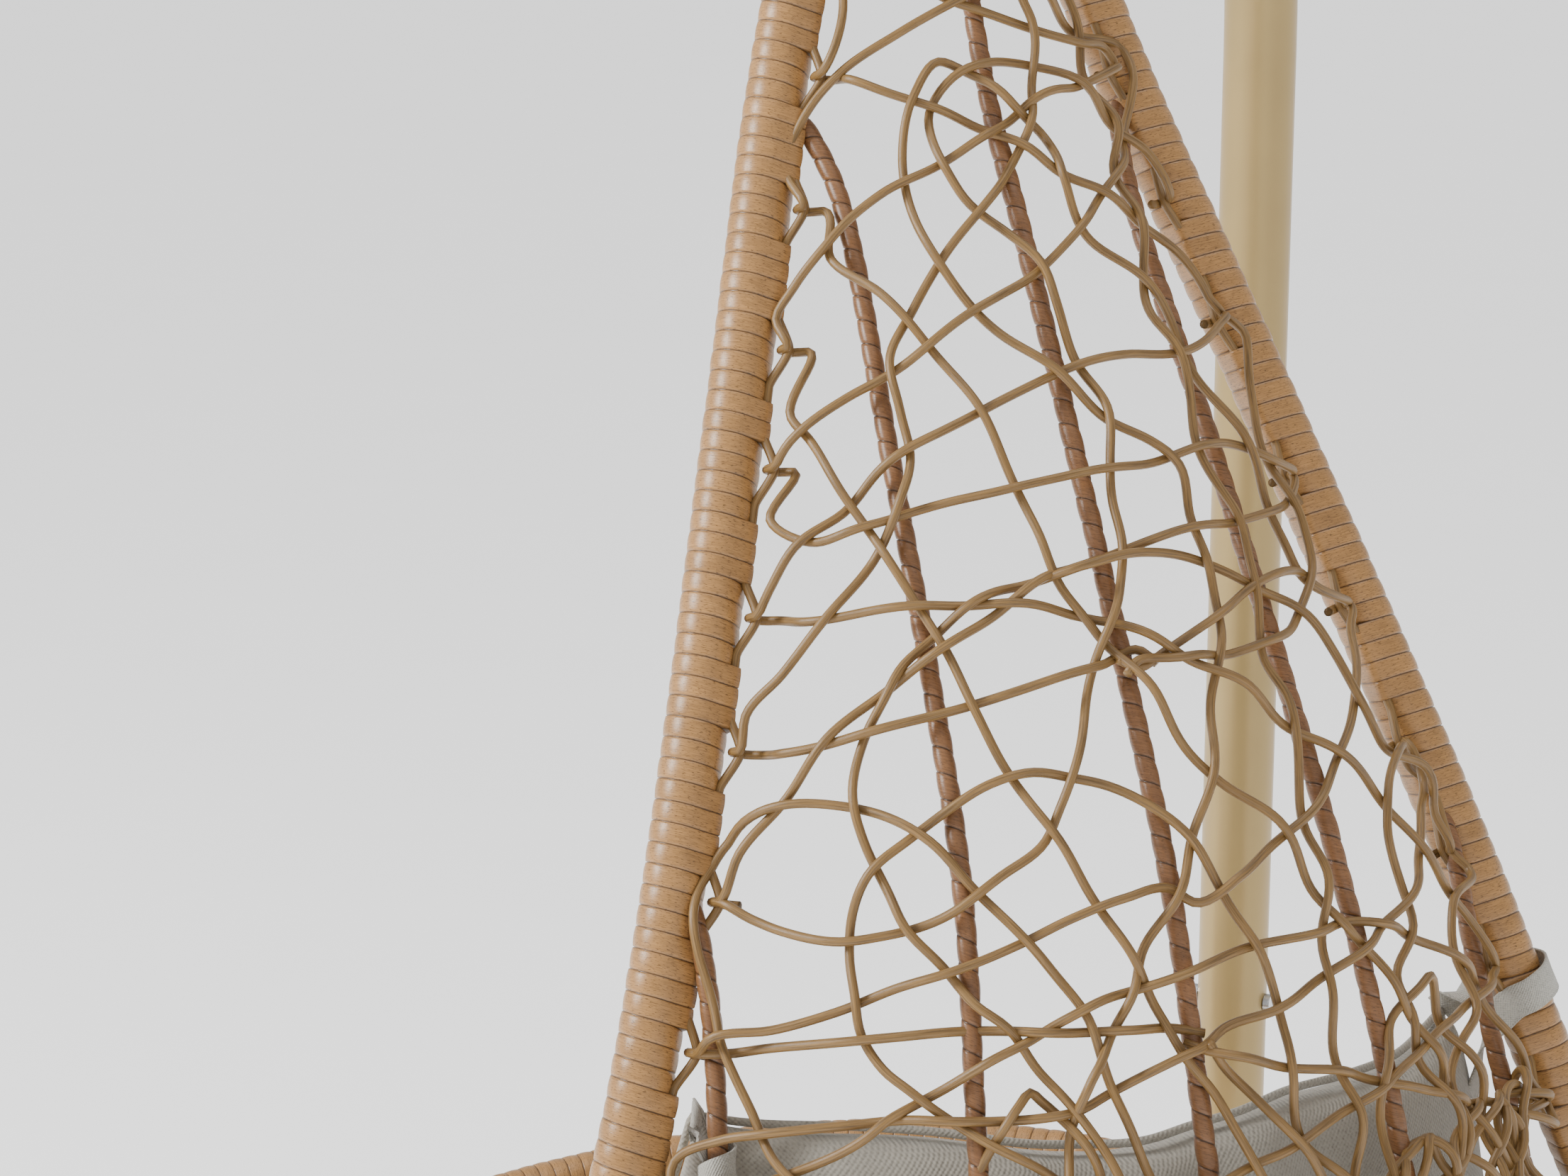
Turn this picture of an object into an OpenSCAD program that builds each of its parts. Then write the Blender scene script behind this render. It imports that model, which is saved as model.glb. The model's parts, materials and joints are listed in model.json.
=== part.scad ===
// Hanging nest chair on a free-standing post stand.
// The origin is on the floor under the hanging axis, +Z is up, and the post stands at +Y.
// The basket has a frame of its own: x across, y towards its back, and the depth below a
// datum on the hanging axis. Basket paths are scaled by the basket's three overall sizes.

/* [Stand] */
// Height of the arm's centre line where it crosses the hanging axis
arm_height = 1930; // [1800:10:2320]
// Distance from the hanging axis to the post, and radius of the base ring and of the arm's bend
post_reach = 580; // [480:5:700]
// Outside diameter of the post and the arm
post_d = 50; // [42:1:60]
// Wall thickness of the post and the arm
post_wall = 2.5; // [2:0.5:4]
// Height of the joint between the lower post and the arm
joint_height = 700; // [400:10:1000]
// Depth of the spigot in the lower post
spigot_length = 80; // [60:5:120]
// Length of the arm past the hanging axis
arm_overrun = 60; // [50:5:100]

/* [Base] */
// Outside diameter of the base ring's tube
ring_d = 42; // [36:1:50]
// Outside diameter of the two bars inside the ring
bar_d = 32; // [25:1:36]
// Angle between each bar and the line from the post to the front
bar_spread = 24; // [16:1:30]
// Height of the post socket above the ring's centre line
socket_height = 150; // [100:5:200]
// Wall thickness of the post socket
socket_wall = 3.5; // [2.5:0.5:6]
// Number of rubber foot pads
pad_count = 6; // [4:1:8]
// Diameter of a foot pad
pad_d = 36; // [30:1:42]
// Gap between the ring and the floor
pad_lift = 6; // [4:1:10]
// Wall thickness of the ring and the bars
ring_wall = 2.5; // [1.5:0.5:4]
// Diameter of the drain hole under the ring beside each pad
drain_d = 6; // [4:1:8]

/* [Fasteners] */
// Nominal diameter of the socket and joint bolts
bolt_d = 8; // [6:1:10]
// Height of the lower socket bolt above the ring's centre line
bolt_low = 60; // [50:1:70]
// Distance between the two socket bolts
bolt_pitch = 50; // [30:1:60]
// Diameter of the eye bolt's shank
shank_d = 12; // [10:1:14]

/* [Hanger] */
// Wire diameter of the eyes and links
wire_d = 8; // [6.5:0.1:10]
// Play between a link and the eye that it passes through
link_play = 1; // [0.8:0.1:1.5]
// Distance between the two bends of the upper link
upper_link_pitch = 60; // [50:1:70]
// Distance between the two bends of the lower link
lower_link_pitch = 70; // [60:1:80]
// Outside diameter of the swivel's housing
housing_d = 32; // [30:1:36]
// Height of the swivel's housing
housing_height = 32; // [30:1:40]
// Radial clearance of the swivel's pin in its plate
pin_clearance = 0.05; // [0.02:0.01:0.1]

/* [Basket] */
// Width of the basket between hoop centre lines at its widest
basket_w = 816; // [760:2:860]
// Depth of the basket from the seat front to the back, between centre lines
basket_depth = 824; // [760:2:860]
// Height of the basket from the hoop's top to the seat's lowest rib, between centre lines
basket_h = 1200; // [1100:5:1250]
// Direction that the basket's left side faces at rest, in degrees from +X
basket_turn = -135; // [-180:1:180]
// Outside diameter of the wrapped hoop
hoop_d = 34; // [28:0.5:41]
// Outside diameter of the wrapped ribs
rib_d = 10.5; // [9:0.5:12]
// Thickness of the woven panels
weave_t = 4; // [3:0.5:5]
// Gap between a woven panel and a tie tape round the tube beside it
weave_gap = 3; // [2:0.5:6]

/* [Cushions] */
// Thickness of the seat cushion
seat_t = 90; // [60:5:100]
// Thickness of the back cushion
back_t = 70; // [50:5:80]
// Width of the seat cushion
seat_w = 480; // [420:5:500]
// Front to back length of the seat cushion
seat_l = 470; // [420:5:500]
// Height of the back cushion along the back
back_h = 310; // [250:5:320]
// Width of a tie tape
tie_w = 18; // [14:1:22]
// Thickness of a tie tape
tie_t = 2; // [1.5:0.5:3]
// Gap between a tie tape and the tube that it goes round
tie_gap = 1.5; // [1:0.1:2]
// Gap between a tie tape's end and the middle of the cushion's corner
tie_reach = 16; // [14:1:20]

/* [Hidden] */
$fn = 64;

khaki = "#a8935a";
steel = "#b9bcc0";
tape = "#b9854c";
bark = "#8d6a45";
strand = "#8a7044";
canvas = "#b9b3a6";
rubber = "#2c2b2a";

// Stand
ring_z = pad_lift + ring_d / 2;
bend_z = arm_height - post_reach;
fit_gap = 0.2;
bore_d = post_d - 2 * post_wall;
socket_d = post_d + 2 * (fit_gap + socket_wall);
head_h = 0.6 * bolt_d;
head_d = 1.6 * bolt_d;

// Hanger, from the top down
wire_r = wire_d / 2;
bend_r = wire_d + link_play;
collar_h = 4;
eye_z = arm_height - post_d / 2 - collar_h - wire_d - bend_r;
side_axis_z = eye_z - bend_r;
fore_axis_z = side_axis_z - upper_link_pitch - bend_r;
housing_top = fore_axis_z - bend_r - wire_r + 2;
housing_wall = 4;
housing_bottom = housing_top - housing_height;
plate_h = 5;
pin_r = 5;
pin_head_r = housing_d / 2 - housing_wall - 2;
pin_head_h = 7;
lower_eye_z = housing_bottom - 14 - bend_r;
nod_axis_z = lower_eye_z - bend_r;
roll_axis_z = nod_axis_z - lower_link_pitch - bend_r;

// Basket datum: the hoop's top carries the hanging eye
hoop_top_depth = 95;
datum_z = roll_axis_z - bend_r - wire_r - hoop_d / 2 + 1.5 + hoop_top_depth;

// Basket outlines: across, towards the back, and depth below the datum
HALF_HOOP = [[0, 0, 95], [38, -10, 125], [64, -22, 205], [101, 4, 320], [158, 85, 500],
    [221, 173, 700], [269, 222, 850], [318, 244, 980], [372, 205, 1085], [402, 105, 1138],
    [408, -40, 1150], [378, -200, 1152], [298, -335, 1146], [165, -415, 1138], [0, -438, 1134]];
CENTRE_RIB = [[0, 0, 95], [0, 8, 210], [0, 50, 320], [0, 105, 400], [0, 172, 500],
    [0, 236, 600], [0, 295, 700], [0, 334, 800], [0, 366, 900], [0, 386, 1000],
    [0, 375, 1100], [0, 322, 1188], [0, 225, 1252], [0, 90, 1289], [0, -60, 1296],
    [0, -215, 1272], [0, -345, 1215], [0, -438, 1134]];
INNER_RIB = [[104, 9, 330], [90, 34, 358], [85, 68, 400], [92, 141, 500], [98, 211, 600],
    [105, 274, 700], [115, 316, 800], [122, 348, 900], [129, 366, 1000], [134, 354, 1100],
    [138, 300, 1184], [140, 205, 1243], [141, 75, 1275], [140, -65, 1279],
    [137, -215, 1255], [132, -335, 1202], [125, -428, 1137]];
OUTER_RIB = [[222, 174, 703], [220, 208, 745], [223, 235, 810], [235, 266, 900],
    [254, 284, 1000], [270, 268, 1085], [280, 215, 1153], [285, 130, 1205],
    [286, 25, 1231], [283, -85, 1234], [274, -195, 1214], [258, -295, 1177],
    [240, -378, 1141]];
// Size of the basket as the outlines draw it
outline_w = 816;
outline_depth = 824;
outline_h = 1200;
// Point of the hoop where its side tubes end, and place of the cross rib front to back
hoop_joint = 10;
cross_y = -30;
// Rings of the hoop's skin per span between two of its outline's points
hoop_rings = 4;

function unit(v) = v / norm(v);
function placed(path) = [for (p = path) [p.x * basket_w / outline_w,
    p.y * basket_depth / outline_depth,
    datum_z - hoop_top_depth - (p.z - hoop_top_depth) * basket_h / outline_h]];
function mirrored(path) = [for (p = path) [-p.x, p.y, p.z]];
function sided(path, side) = side > 0 ? path : mirrored(path);

// Catmull-Rom curve; a place on it is a point's number plus a fraction of the next span
function on_span(a, b, c, d, t) = 0.5 * (2 * b + (c - a) * t
    + (2 * a - 5 * b + 4 * c - d) * t * t + (3 * b - a - 3 * c + d) * t * t * t);
function knot(p, i) = i < 0 ? 2 * p[0] - p[1]
    : i > len(p) - 1 ? 2 * p[len(p) - 1] - p[len(p) - 2]
    : p[i];
function point_at(p, f) = let (i = min(max(floor(f), 0), len(p) - 2))
    on_span(knot(p, i - 1), knot(p, i), knot(p, i + 1), knot(p, i + 2), f - i);
function stretch(p, from, to, count) =
    [for (i = [0 : count]) point_at(p, from + (to - from) * i / count)];

half_hoop = placed(HALF_HOOP);
centre_line = placed(CENTRE_RIB);
inner_line = placed(INNER_RIB);
outer_line = placed(OUTER_RIB);
hoop_loop = let (last = len(half_hoop) - 1)
    concat(half_hoop, mirrored([for (i = [last - 1 : -1 : 1]) half_hoop[i]]));
function around(i) = hoop_loop[(i + len(hoop_loop)) % len(hoop_loop)];
function hoop_at(f) = let (i = floor(f))
    on_span(around(i - 1), around(i), around(i + 1), around(i + 2), f - i);
// The stretch has one more point past each end, which only gives the end its direction
function hoop_stretch(from, to, count) =
    [for (i = [-1 : count + 1]) hoop_at(from + (to - from) * i / count)];

// Side vectors carried along a path without twist
function tangent(p, i) = unit(p[min(i + 1, len(p) - 1)] - p[max(i - 1, 0)]);
function carry(u, t) = unit(u - (u * t) * t);
function start_side(t) = carry(abs(t.z) < 0.9 ? [0, 0, 1] : [1, 0, 0], t);
function sides_along(p) = [for (i = 0, u = start_side(tangent(p, 0)); i < len(p);
    i = i + 1, u = i < len(p) ? carry(u, tangent(p, i)) : u) u];

// Skin over rings of equal size, closed at both ends
module skin(rings) {
    n = len(rings[0]);
    last = len(rings) - 1;
    polyhedron(
        points = [for (ring = rings) each ring],
        faces = concat(
            [[for (k = [0 : n - 1]) k]],
            [for (i = [0 : last - 1]) for (k = [0 : n - 1])
                each [[i * n + k, (i + 1) * n + k, (i + 1) * n + (k + 1) % n],
                    [i * n + k, (i + 1) * n + (k + 1) % n, i * n + (k + 1) % n]]],
            [[for (k = [n - 1 : -1 : 0]) last * n + k]]),
        convexity = 10);
}

// Round bar along a path, less the given number of points at each end
module bar_along(path, r, sides, ghosts = 0) {
    u = sides_along(path);
    skin([for (i = [ghosts : len(path) - 1 - ghosts])
        let (t = tangent(path, i), v = cross(t, u[i]))
        [for (k = [0 : sides - 1])
            path[i] + r * cos(360 * k / sides) * u[i] + r * sin(360 * k / sides) * v]]);
}

// Straight tube between two points
module rod(a, b, d) {
    v = b - a;
    translate(a)
        rotate([0, acos(v.z / norm(v)), atan2(v.y, v.x)])
            cylinder(d = d, h = norm(v));
}

module ring_solid(d = ring_d) {
    translate([0, 0, ring_z])
        rotate_extrude($fn = 128)
            translate([post_reach, 0])
                circle(d = d);
}

// Places spaced evenly round the ring, kept off the post
module round_the_ring(shift = 0.5) {
    for (i = [0 : pad_count - 1])
        rotate([0, 0, 90 + 360 / pad_count * (i + shift)])
            translate([post_reach, 0, 0])
                children();
}

// Bend of the arm, from the post to the hanging axis
module arm_bend(d) {
    translate([0, 0, bend_z])
        rotate([90, 0, 90])
            rotate_extrude(angle = 90, $fn = 96)
                translate([post_reach, 0])
                    circle(d = d);
}

module base_ring() {
    color(khaki)
        difference() {
            ring_solid();
            ring_solid(ring_d - 2 * ring_wall);
            round_the_ring(shift = 0.6)
                cylinder(d = drain_d, h = ring_z);
        }
}

// Bar from the ring under the post to the ring's front, coped to the ring and the socket
module base_bar(side) {
    reach = 2 * post_reach * cos(bar_spread);
    from = [0, post_reach, ring_z];
    to = from + reach * [side * sin(bar_spread), -cos(bar_spread), 0];
    color(khaki)
        difference() {
            rod(from, to, bar_d);
            rod(from, to, bar_d - 2 * ring_wall);
            ring_solid();
            post_bore(socket_d, ring_z, ring_z + socket_height);
            translate([side > 0 ? -post_reach : 0, 0, 0])
                cube([post_reach, 2 * post_reach, 2 * ring_z]);
        }
}

module foot_pads() {
    color(rubber)
        difference() {
            round_the_ring()
                cylinder(d = pad_d, h = pad_lift + ring_d / 6);
            ring_solid();
        }
}

module post_bore(d, from, to) {
    translate([0, post_reach, from])
        cylinder(d = d, h = to - from);
}

module cross_hole(z, d) {
    translate([0, post_reach, z])
        rotate([0, 90, 0])
            cylinder(d = d, h = 2 * socket_d, center = true);
}

module post_socket() {
    color(khaki)
        difference() {
            post_bore(socket_d, ring_z, ring_z + socket_height);
            post_bore(post_d + 2 * fit_gap, ring_z + ring_d / 2 + 2, ring_z + 2 * socket_height);
            ring_solid();
            for (i = [0 : 1])
                cross_hole(ring_z + bolt_low + i * bolt_pitch, bolt_d + fit_gap);
        }
}

module lower_post() {
    color(khaki)
        difference() {
            post_bore(post_d, ring_z + ring_d / 2 + 2, joint_height);
            post_bore(bore_d, ring_z, joint_height + 1);
            for (i = [0 : 1])
                cross_hole(ring_z + bolt_low + i * bolt_pitch, bolt_d + fit_gap);
            cross_hole(joint_height - spigot_length / 2, bolt_d + fit_gap);
        }
}

module upper_arm() {
    color(khaki)
        difference() {
            union() {
                post_bore(bore_d - 2 * fit_gap, joint_height - spigot_length, joint_height + 1);
                post_bore(post_d, joint_height, bend_z);
                arm_bend(post_d);
                rod([0, 0, arm_height], [0, -arm_overrun, arm_height], post_d);
            }
            post_bore(bore_d - 2 * post_wall, joint_height - spigot_length - 1, bend_z);
            arm_bend(bore_d - 2 * post_wall);
            rod([0, 0, arm_height], [0, -arm_overrun - 1, arm_height], bore_d - 2 * post_wall);
            cross_hole(joint_height - spigot_length / 2, bolt_d + fit_gap);
            translate([0, 0, arm_height - post_d])
                cylinder(d = shank_d + fit_gap, h = 2 * post_d);
        }
}

// Bolt through the post with a dome on both ends
module through_bolt(z, span) {
    translate([0, post_reach, z])
        rotate([0, 90, 0]) {
            cylinder(d = bolt_d, h = span + 2 * head_h, center = true);
            for (end = [-1, 1])
                translate([0, 0, end * (span + head_h) / 2])
                    cylinder(d = head_d, h = head_h, center = true);
        }
}

module socket_bolts() {
    color(steel)
        for (i = [0 : 1])
            through_bolt(ring_z + bolt_low + i * bolt_pitch, socket_d);
}

module joint_bolt() {
    color(steel) through_bolt(joint_height - spigot_length / 2, post_d);
}

module arm_end_cap() {
    cap_h = 5;
    plug_h = 20;
    color(rubber)
        union() {
            rod([0, -arm_overrun - cap_h, arm_height], [0, -arm_overrun, arm_height], post_d);
            rod([0, -arm_overrun, arm_height], [0, plug_h - arm_overrun, arm_height],
                bore_d - 2 * post_wall - 2 * fit_gap);
        }
}

// Closed ring of wire: its centre, the direction of its hole and its bend radius
module wire_ring(z, turn, r = bend_r) {
    translate([0, 0, z])
        rotate([90, 0, turn])
            rotate_extrude()
                translate([r, 0])
                    circle(d = wire_d);
}

module eye_bolt() {
    color(steel)
        union() {
            wire_ring(eye_z, 90);
            translate([0, 0, eye_z + bend_r])
                cylinder(d = 2 * wire_d, h = arm_height - post_d / 2 - eye_z - bend_r - 1.5);
            translate([0, 0, eye_z + bend_r])
                cylinder(d = shank_d, h = arm_height + post_d / 2 + 12 - eye_z - bend_r);
        }
}

module eye_bolt_nut() {
    nut_d = 2 * shank_d;
    color(steel)
        difference() {
            union() {
                translate([0, 0, arm_height + post_d / 2 - 1])
                    cylinder(d = nut_d, h = 14);
                translate([0, 0, arm_height + post_d / 2 + 13])
                    intersection() {
                        sphere(d = nut_d);
                        cylinder(d = nut_d, h = nut_d);
                    }
            }
            translate([0, 0, arm_height])
                cylinder(d = shank_d, h = post_d / 2 + 12);
            rod([0, -nut_d, arm_height], [0, nut_d, arm_height], post_d);
        }
}

// Long link of wire with round ends, bends centred on its two hinge axes
module long_link(top, pitch, turn) {
    translate([0, 0, top])
        rotate([0, 0, turn]) {
            rotate([90, 0, 0])
                rotate_extrude(angle = 180)
                    translate([bend_r, 0])
                        circle(d = wire_d);
            translate([0, 0, -pitch])
                rotate([-90, 0, 0])
                    rotate_extrude(angle = 180)
                        translate([bend_r, 0])
                            circle(d = wire_d);
            for (side = [-1, 1])
                translate([side * bend_r, 0, -pitch])
                    cylinder(d = wire_d, h = pitch);
        }
}

// Screwed sleeve that closes one leg of a link
module sleeve(top, pitch, turn) {
    sleeve_h = pitch / 2;
    translate([0, 0, top - pitch / 2])
        rotate([0, 0, turn])
            translate([bend_r, 0, 0])
                difference() {
                    cylinder(d = wire_d + 5, h = sleeve_h, center = true, $fn = 6);
                    cylinder(d = wire_d, h = sleeve_h + 1, center = true);
                }
}

module upper_link() {
    color(steel) long_link(side_axis_z, upper_link_pitch, 0);
}

module upper_link_sleeve() {
    color(steel) sleeve(side_axis_z, upper_link_pitch, 0);
}

module lower_link() {
    color(steel) long_link(nod_axis_z, lower_link_pitch, basket_turn + 90);
}

module lower_link_sleeve() {
    color(steel) sleeve(nod_axis_z, lower_link_pitch, basket_turn + 90);
}

module swivel_housing() {
    color(steel)
        difference() {
            union() {
                wire_ring(fore_axis_z, 90);
                translate([0, 0, housing_bottom])
                    cylinder(d = housing_d, h = housing_height);
            }
            translate([0, 0, housing_bottom - 1])
                cylinder(d = housing_d - 2 * housing_wall,
                    h = housing_height - 2 * housing_wall + 1);
        }
}

module swivel_plate() {
    color(steel)
        translate([0, 0, housing_bottom])
            difference() {
                cylinder(d = housing_d - 2 * housing_wall, h = plate_h);
                translate([0, 0, -1])
                    cylinder(r = pin_r + pin_clearance, h = plate_h + 2);
            }
}

module swivel_pin() {
    color(steel)
        union() {
            translate([0, 0, housing_bottom + plate_h + pin_clearance])
                cylinder(r = pin_head_r, h = pin_head_h);
            translate([0, 0, lower_eye_z + bend_r])
                cylinder(r = pin_r, h = housing_bottom + plate_h + 2 - lower_eye_z - bend_r);
            wire_ring(lower_eye_z, basket_turn);
        }
}

// Everything on the basket turns with it
module on_basket() {
    rotate([0, 0, basket_turn]) children();
}

module hoop_part(from, to, grow = 0) {
    bar_along(hoop_stretch(from, to, (to - from) * hoop_rings), hoop_d / 2 + grow, 16,
        ghosts = 1);
}

// Room for the hoop where a tube is welded to it, round the given places on the hoop
module hoop_room(places) {
    weld_gap = 0.5;
    spans = 3;
    for (at = places)
        let (middle = round(at * hoop_rings) / hoop_rings)
            hoop_part(middle - spans / hoop_rings, middle + spans / hoop_rings, grow = weld_gap);
}

module hoop_left() {
    color(tape) on_basket() hoop_part(0, hoop_joint);
}

module hoop_front() {
    color(tape) on_basket() hoop_part(hoop_joint, len(hoop_loop) - hoop_joint);
}

module hoop_right() {
    color(tape) on_basket() hoop_part(len(hoop_loop) - hoop_joint, len(hoop_loop));
}

module hang_eye() {
    color(steel)
        difference() {
            union() {
                wire_ring(roll_axis_z, basket_turn);
                translate([0, 0, datum_z - hoop_top_depth])
                    cylinder(d = 2 * wire_d, h = hoop_d / 2 + 3);
            }
            on_basket() hoop_room([0]);
        }
}

// Rib from the hoop down the back, under the seat and up to the seat front
module rib(line, side, ends) {
    color(bark)
        on_basket()
            difference() {
                bar_along(stretch(sided(line, side), 0, len(line) - 1, 3 * len(line) - 3),
                    rib_d / 2, 8);
                hoop_room(side * ends);
            }
}

module centre_rib() {
    rib(centre_line, 1, [0, 14]);
}

module inner_rib(side) {
    rib(inner_line, side, [3.1, 13.3]);
}

module outer_rib(side) {
    rib(outer_line, side, [5, 12.4]);
}

// Place on a rib where it passes over the cross rib, in the span after the given point
function over_cross(line, first) = let (y = cross_y * basket_depth / outline_depth)
    point_at(line, first + (y - line[first].y) / (line[first + 1].y - line[first].y));

// Rib across the bottom, just under the others
module cross_rib() {
    drop = rib_d + 1;
    hoop_side = hoop_at(hoop_joint - 0.1);
    under = [for (p = [over_cross(outer_line, 8), over_cross(inner_line, 12),
        over_cross(centre_line, 13)]) p - [0, 0, drop]];
    half = [hoop_side, (hoop_side + under[0]) / 2 + [14, 0, -18], under[0], under[1]];
    full = concat(half, [under[2]], mirrored([for (i = [3 : -1 : 0]) half[i]]));
    color(bark)
        on_basket()
            difference() {
                bar_along(stretch(full, 0, len(full) - 1, 32), rib_d / 2, 8);
                hoop_room([hoop_joint, -hoop_joint]);
            }
}

// Woven sheet between two tubes, kept clear of both and bowed a little outwards
module weave(a, b, clear_a, clear_b) {
    bow = 3;
    cells = 3;
    middle = [0, 40, datum_z - 900];
    color(strand)
        on_basket()
            skin([for (i = [0 : len(a) - 1])
                let (span = b[i] - a[i], gap = norm(span), along = span / gap,
                    room_a = clear_a / norm(cross(along, tangent(a, i))),
                    room_b = clear_b / norm(cross(along, tangent(b, i))),
                    raw = unit(cross(along, tangent(a, i))),
                    out = raw * (a[i] - middle) > 0 ? raw : -raw,
                    from = a[i] + room_a * along,
                    width = gap - room_a - room_b,
                    row = [for (k = [0 : cells]) from + along * width * k / cells
                        + out * bow * 4 * (k / cells) * (1 - k / cells)],
                    turned = cross(along, out) * tangent(a, i) > 0)
                concat(
                    [for (k = [0 : cells]) row[turned ? k : cells - k] + out * weave_t / 2],
                    [for (k = [cells : -1 : 0]) row[turned ? k : cells - k] - out * weave_t / 2])]);
}

tie_room = tie_gap + tie_t + weave_gap;
rib_clear = rib_d / 2 + tie_room;
hoop_clear = hoop_d / 2 + tie_room;

module weave_back(side) {
    weave(sided(stretch(inner_line, 1, 15.6, 24), side), stretch(centre_line, 2.4, 16.6, 24),
        rib_clear, rib_clear);
}

module weave_shoulder(side) {
    weave(sided(stretch(half_hoop, 3.35, 4.9, 6), side),
        sided(stretch(inner_line, 1.6, 4.9, 6), side), hoop_clear, rib_clear);
}

module weave_side(side) {
    weave(sided(stretch(outer_line, 1.4, 11.5, 18), side),
        sided(stretch(inner_line, 5.5, 15.5, 18), side), rib_clear, rib_clear);
}

module weave_flank(side) {
    weave(sided(stretch(half_hoop, 6, 11.6, 16), side),
        sided(stretch(outer_line, 2.2, 11.2, 16), side), hoop_clear, rib_clear);
}

// Middle of the back cushion: u from wing to wing, v from its top to its bottom
function back_at(u, v) = placed([[(222 + 78 * v) * u,
    300 + 20 * v - (105 + 60 * v) * u * u, 835 + back_h * v]])[0];

// Padded back rest that follows the basket's back, with a wing to each side
module back_cushion() {
    steps = 14;
    rows = 6;
    color(canvas)
        on_basket()
            skin([for (i = [0 : steps])
                let (u = 2 * i / steps - 1, out = unit([u, 1.4, 0]),
                    edge = sqrt(1 - 0.85 * pow(abs(u), 6)))
                [for (k = [0 : 2 * rows + 1])
                    let (v = (k <= rows ? k : 2 * rows + 1 - k) / rows,
                        face = k <= rows ? -1 : 1,
                        half_t = back_t / 2 * edge * sqrt(1 - 0.85 * pow(abs(2 * v - 1), 6)))
                    back_at(u, v) + face * half_t * out]]);
}

// Round padded seat
module seat_cushion() {
    layers = 8;
    corners = 32;
    centre = placed([[0, -60, 1200]])[0];
    color(canvas)
        on_basket()
            skin([for (i = [0 : layers])
                let (w = 2 * i / layers - 1, inset = sqrt(1 - 0.8 * pow(abs(w), 4)))
                [for (k = [0 : corners - 1])
                    let (c = cos(360 * k / corners), s = sin(360 * k / corners))
                    centre + [inset * seat_w / 2 * sign(c) * pow(abs(c), 0.75),
                        inset * seat_l / 2 * sign(s) * pow(abs(s), 0.75),
                        -w * seat_t / 2]]]);
}

// Tape looped round a tube, with its other end at the cushion
module tie(line, at, tube_r, corner) {
    half_w = tie_w / 2;
    centre = point_at(line, at);
    along = unit(point_at(line, at + 0.05) - centre);
    toward = unit(corner - centre);
    to = corner - tie_reach * toward;
    across = unit(toward - (toward * along) * along);
    outer_r = tube_r + tie_gap + tie_t;
    color(canvas)
        on_basket()
            difference() {
                union() {
                    bar_along([centre - half_w * along, centre, centre + half_w * along],
                        outer_r, 16);
                    skin([for (reach = [tube_r, norm(to - centre)])
                        [for (c = [[-1, -1], [-1, 1], [1, 1], [1, -1]])
                            centre + across * reach + half_w * c.x * along
                            + tie_t / 2 * c.y * cross(along, across)]]);
                }
                bar_along([centre - tie_w * along, centre, centre + tie_w * along],
                    tube_r + tie_gap, 16);
            }
}

module tie_left_upper() {
    tie(outer_line, 2.4, rib_d / 2, back_at(1, 0));
}

module tie_right_upper() {
    tie(mirrored(half_hoop), 5.75, hoop_d / 2, back_at(-1, 0));
}

module tie_left_lower() {
    tie(half_hoop, 8.3, hoop_d / 2, back_at(1, 1));
}

module tie_right_lower() {
    tie(mirrored(half_hoop), 8.3, hoop_d / 2, back_at(-1, 1));
}

base_ring();
base_bar(-1);  // base_bar_left
base_bar(1);  // base_bar_right
foot_pads();
post_socket();
lower_post();
upper_arm();
socket_bolts();
joint_bolt();
arm_end_cap();
eye_bolt();
eye_bolt_nut();
upper_link();
upper_link_sleeve();
swivel_housing();
swivel_plate();
swivel_pin();
lower_link();
lower_link_sleeve();
hang_eye();
hoop_left();
hoop_right();
hoop_front();
centre_rib();
inner_rib(1);  // inner_rib_left
inner_rib(-1);  // inner_rib_right
outer_rib(1);  // outer_rib_left
outer_rib(-1);  // outer_rib_right
cross_rib();
weave_back(1);  // weave_back_left
weave_back(-1);  // weave_back_right
weave_shoulder(1);  // weave_shoulder_left
weave_shoulder(-1);  // weave_shoulder_right
weave_side(1);  // weave_side_left
weave_side(-1);  // weave_side_right
weave_flank(1);  // weave_flank_left
weave_flank(-1);  // weave_flank_right
back_cushion();
seat_cushion();
tie_left_upper();
tie_right_upper();
tie_left_lower();
tie_right_lower();
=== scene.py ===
"""Looks of the hanging nest chair: wrapped hoop and ribs, loose strands, cushions, ties and stand."""

import json
import math

import bpy
import numpy as np
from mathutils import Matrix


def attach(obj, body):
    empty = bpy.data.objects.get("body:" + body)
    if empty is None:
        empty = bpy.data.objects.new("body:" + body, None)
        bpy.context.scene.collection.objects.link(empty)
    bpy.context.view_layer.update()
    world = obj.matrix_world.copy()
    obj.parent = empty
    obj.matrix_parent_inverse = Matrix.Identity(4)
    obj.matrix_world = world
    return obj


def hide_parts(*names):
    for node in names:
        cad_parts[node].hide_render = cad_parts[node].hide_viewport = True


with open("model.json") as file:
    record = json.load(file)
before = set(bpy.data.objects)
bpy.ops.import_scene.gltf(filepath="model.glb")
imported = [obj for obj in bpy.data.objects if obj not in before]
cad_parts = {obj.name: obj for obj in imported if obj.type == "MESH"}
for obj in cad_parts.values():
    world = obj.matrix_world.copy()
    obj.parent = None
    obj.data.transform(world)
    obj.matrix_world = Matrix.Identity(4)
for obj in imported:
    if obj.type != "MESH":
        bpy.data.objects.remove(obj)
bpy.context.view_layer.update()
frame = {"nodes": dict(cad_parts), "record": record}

# ---- places, in the basket's own frame: x to its left side, y to its back, z up, in mm ----
TURN = math.radians(-135)
DATUM = 1718.5

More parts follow.
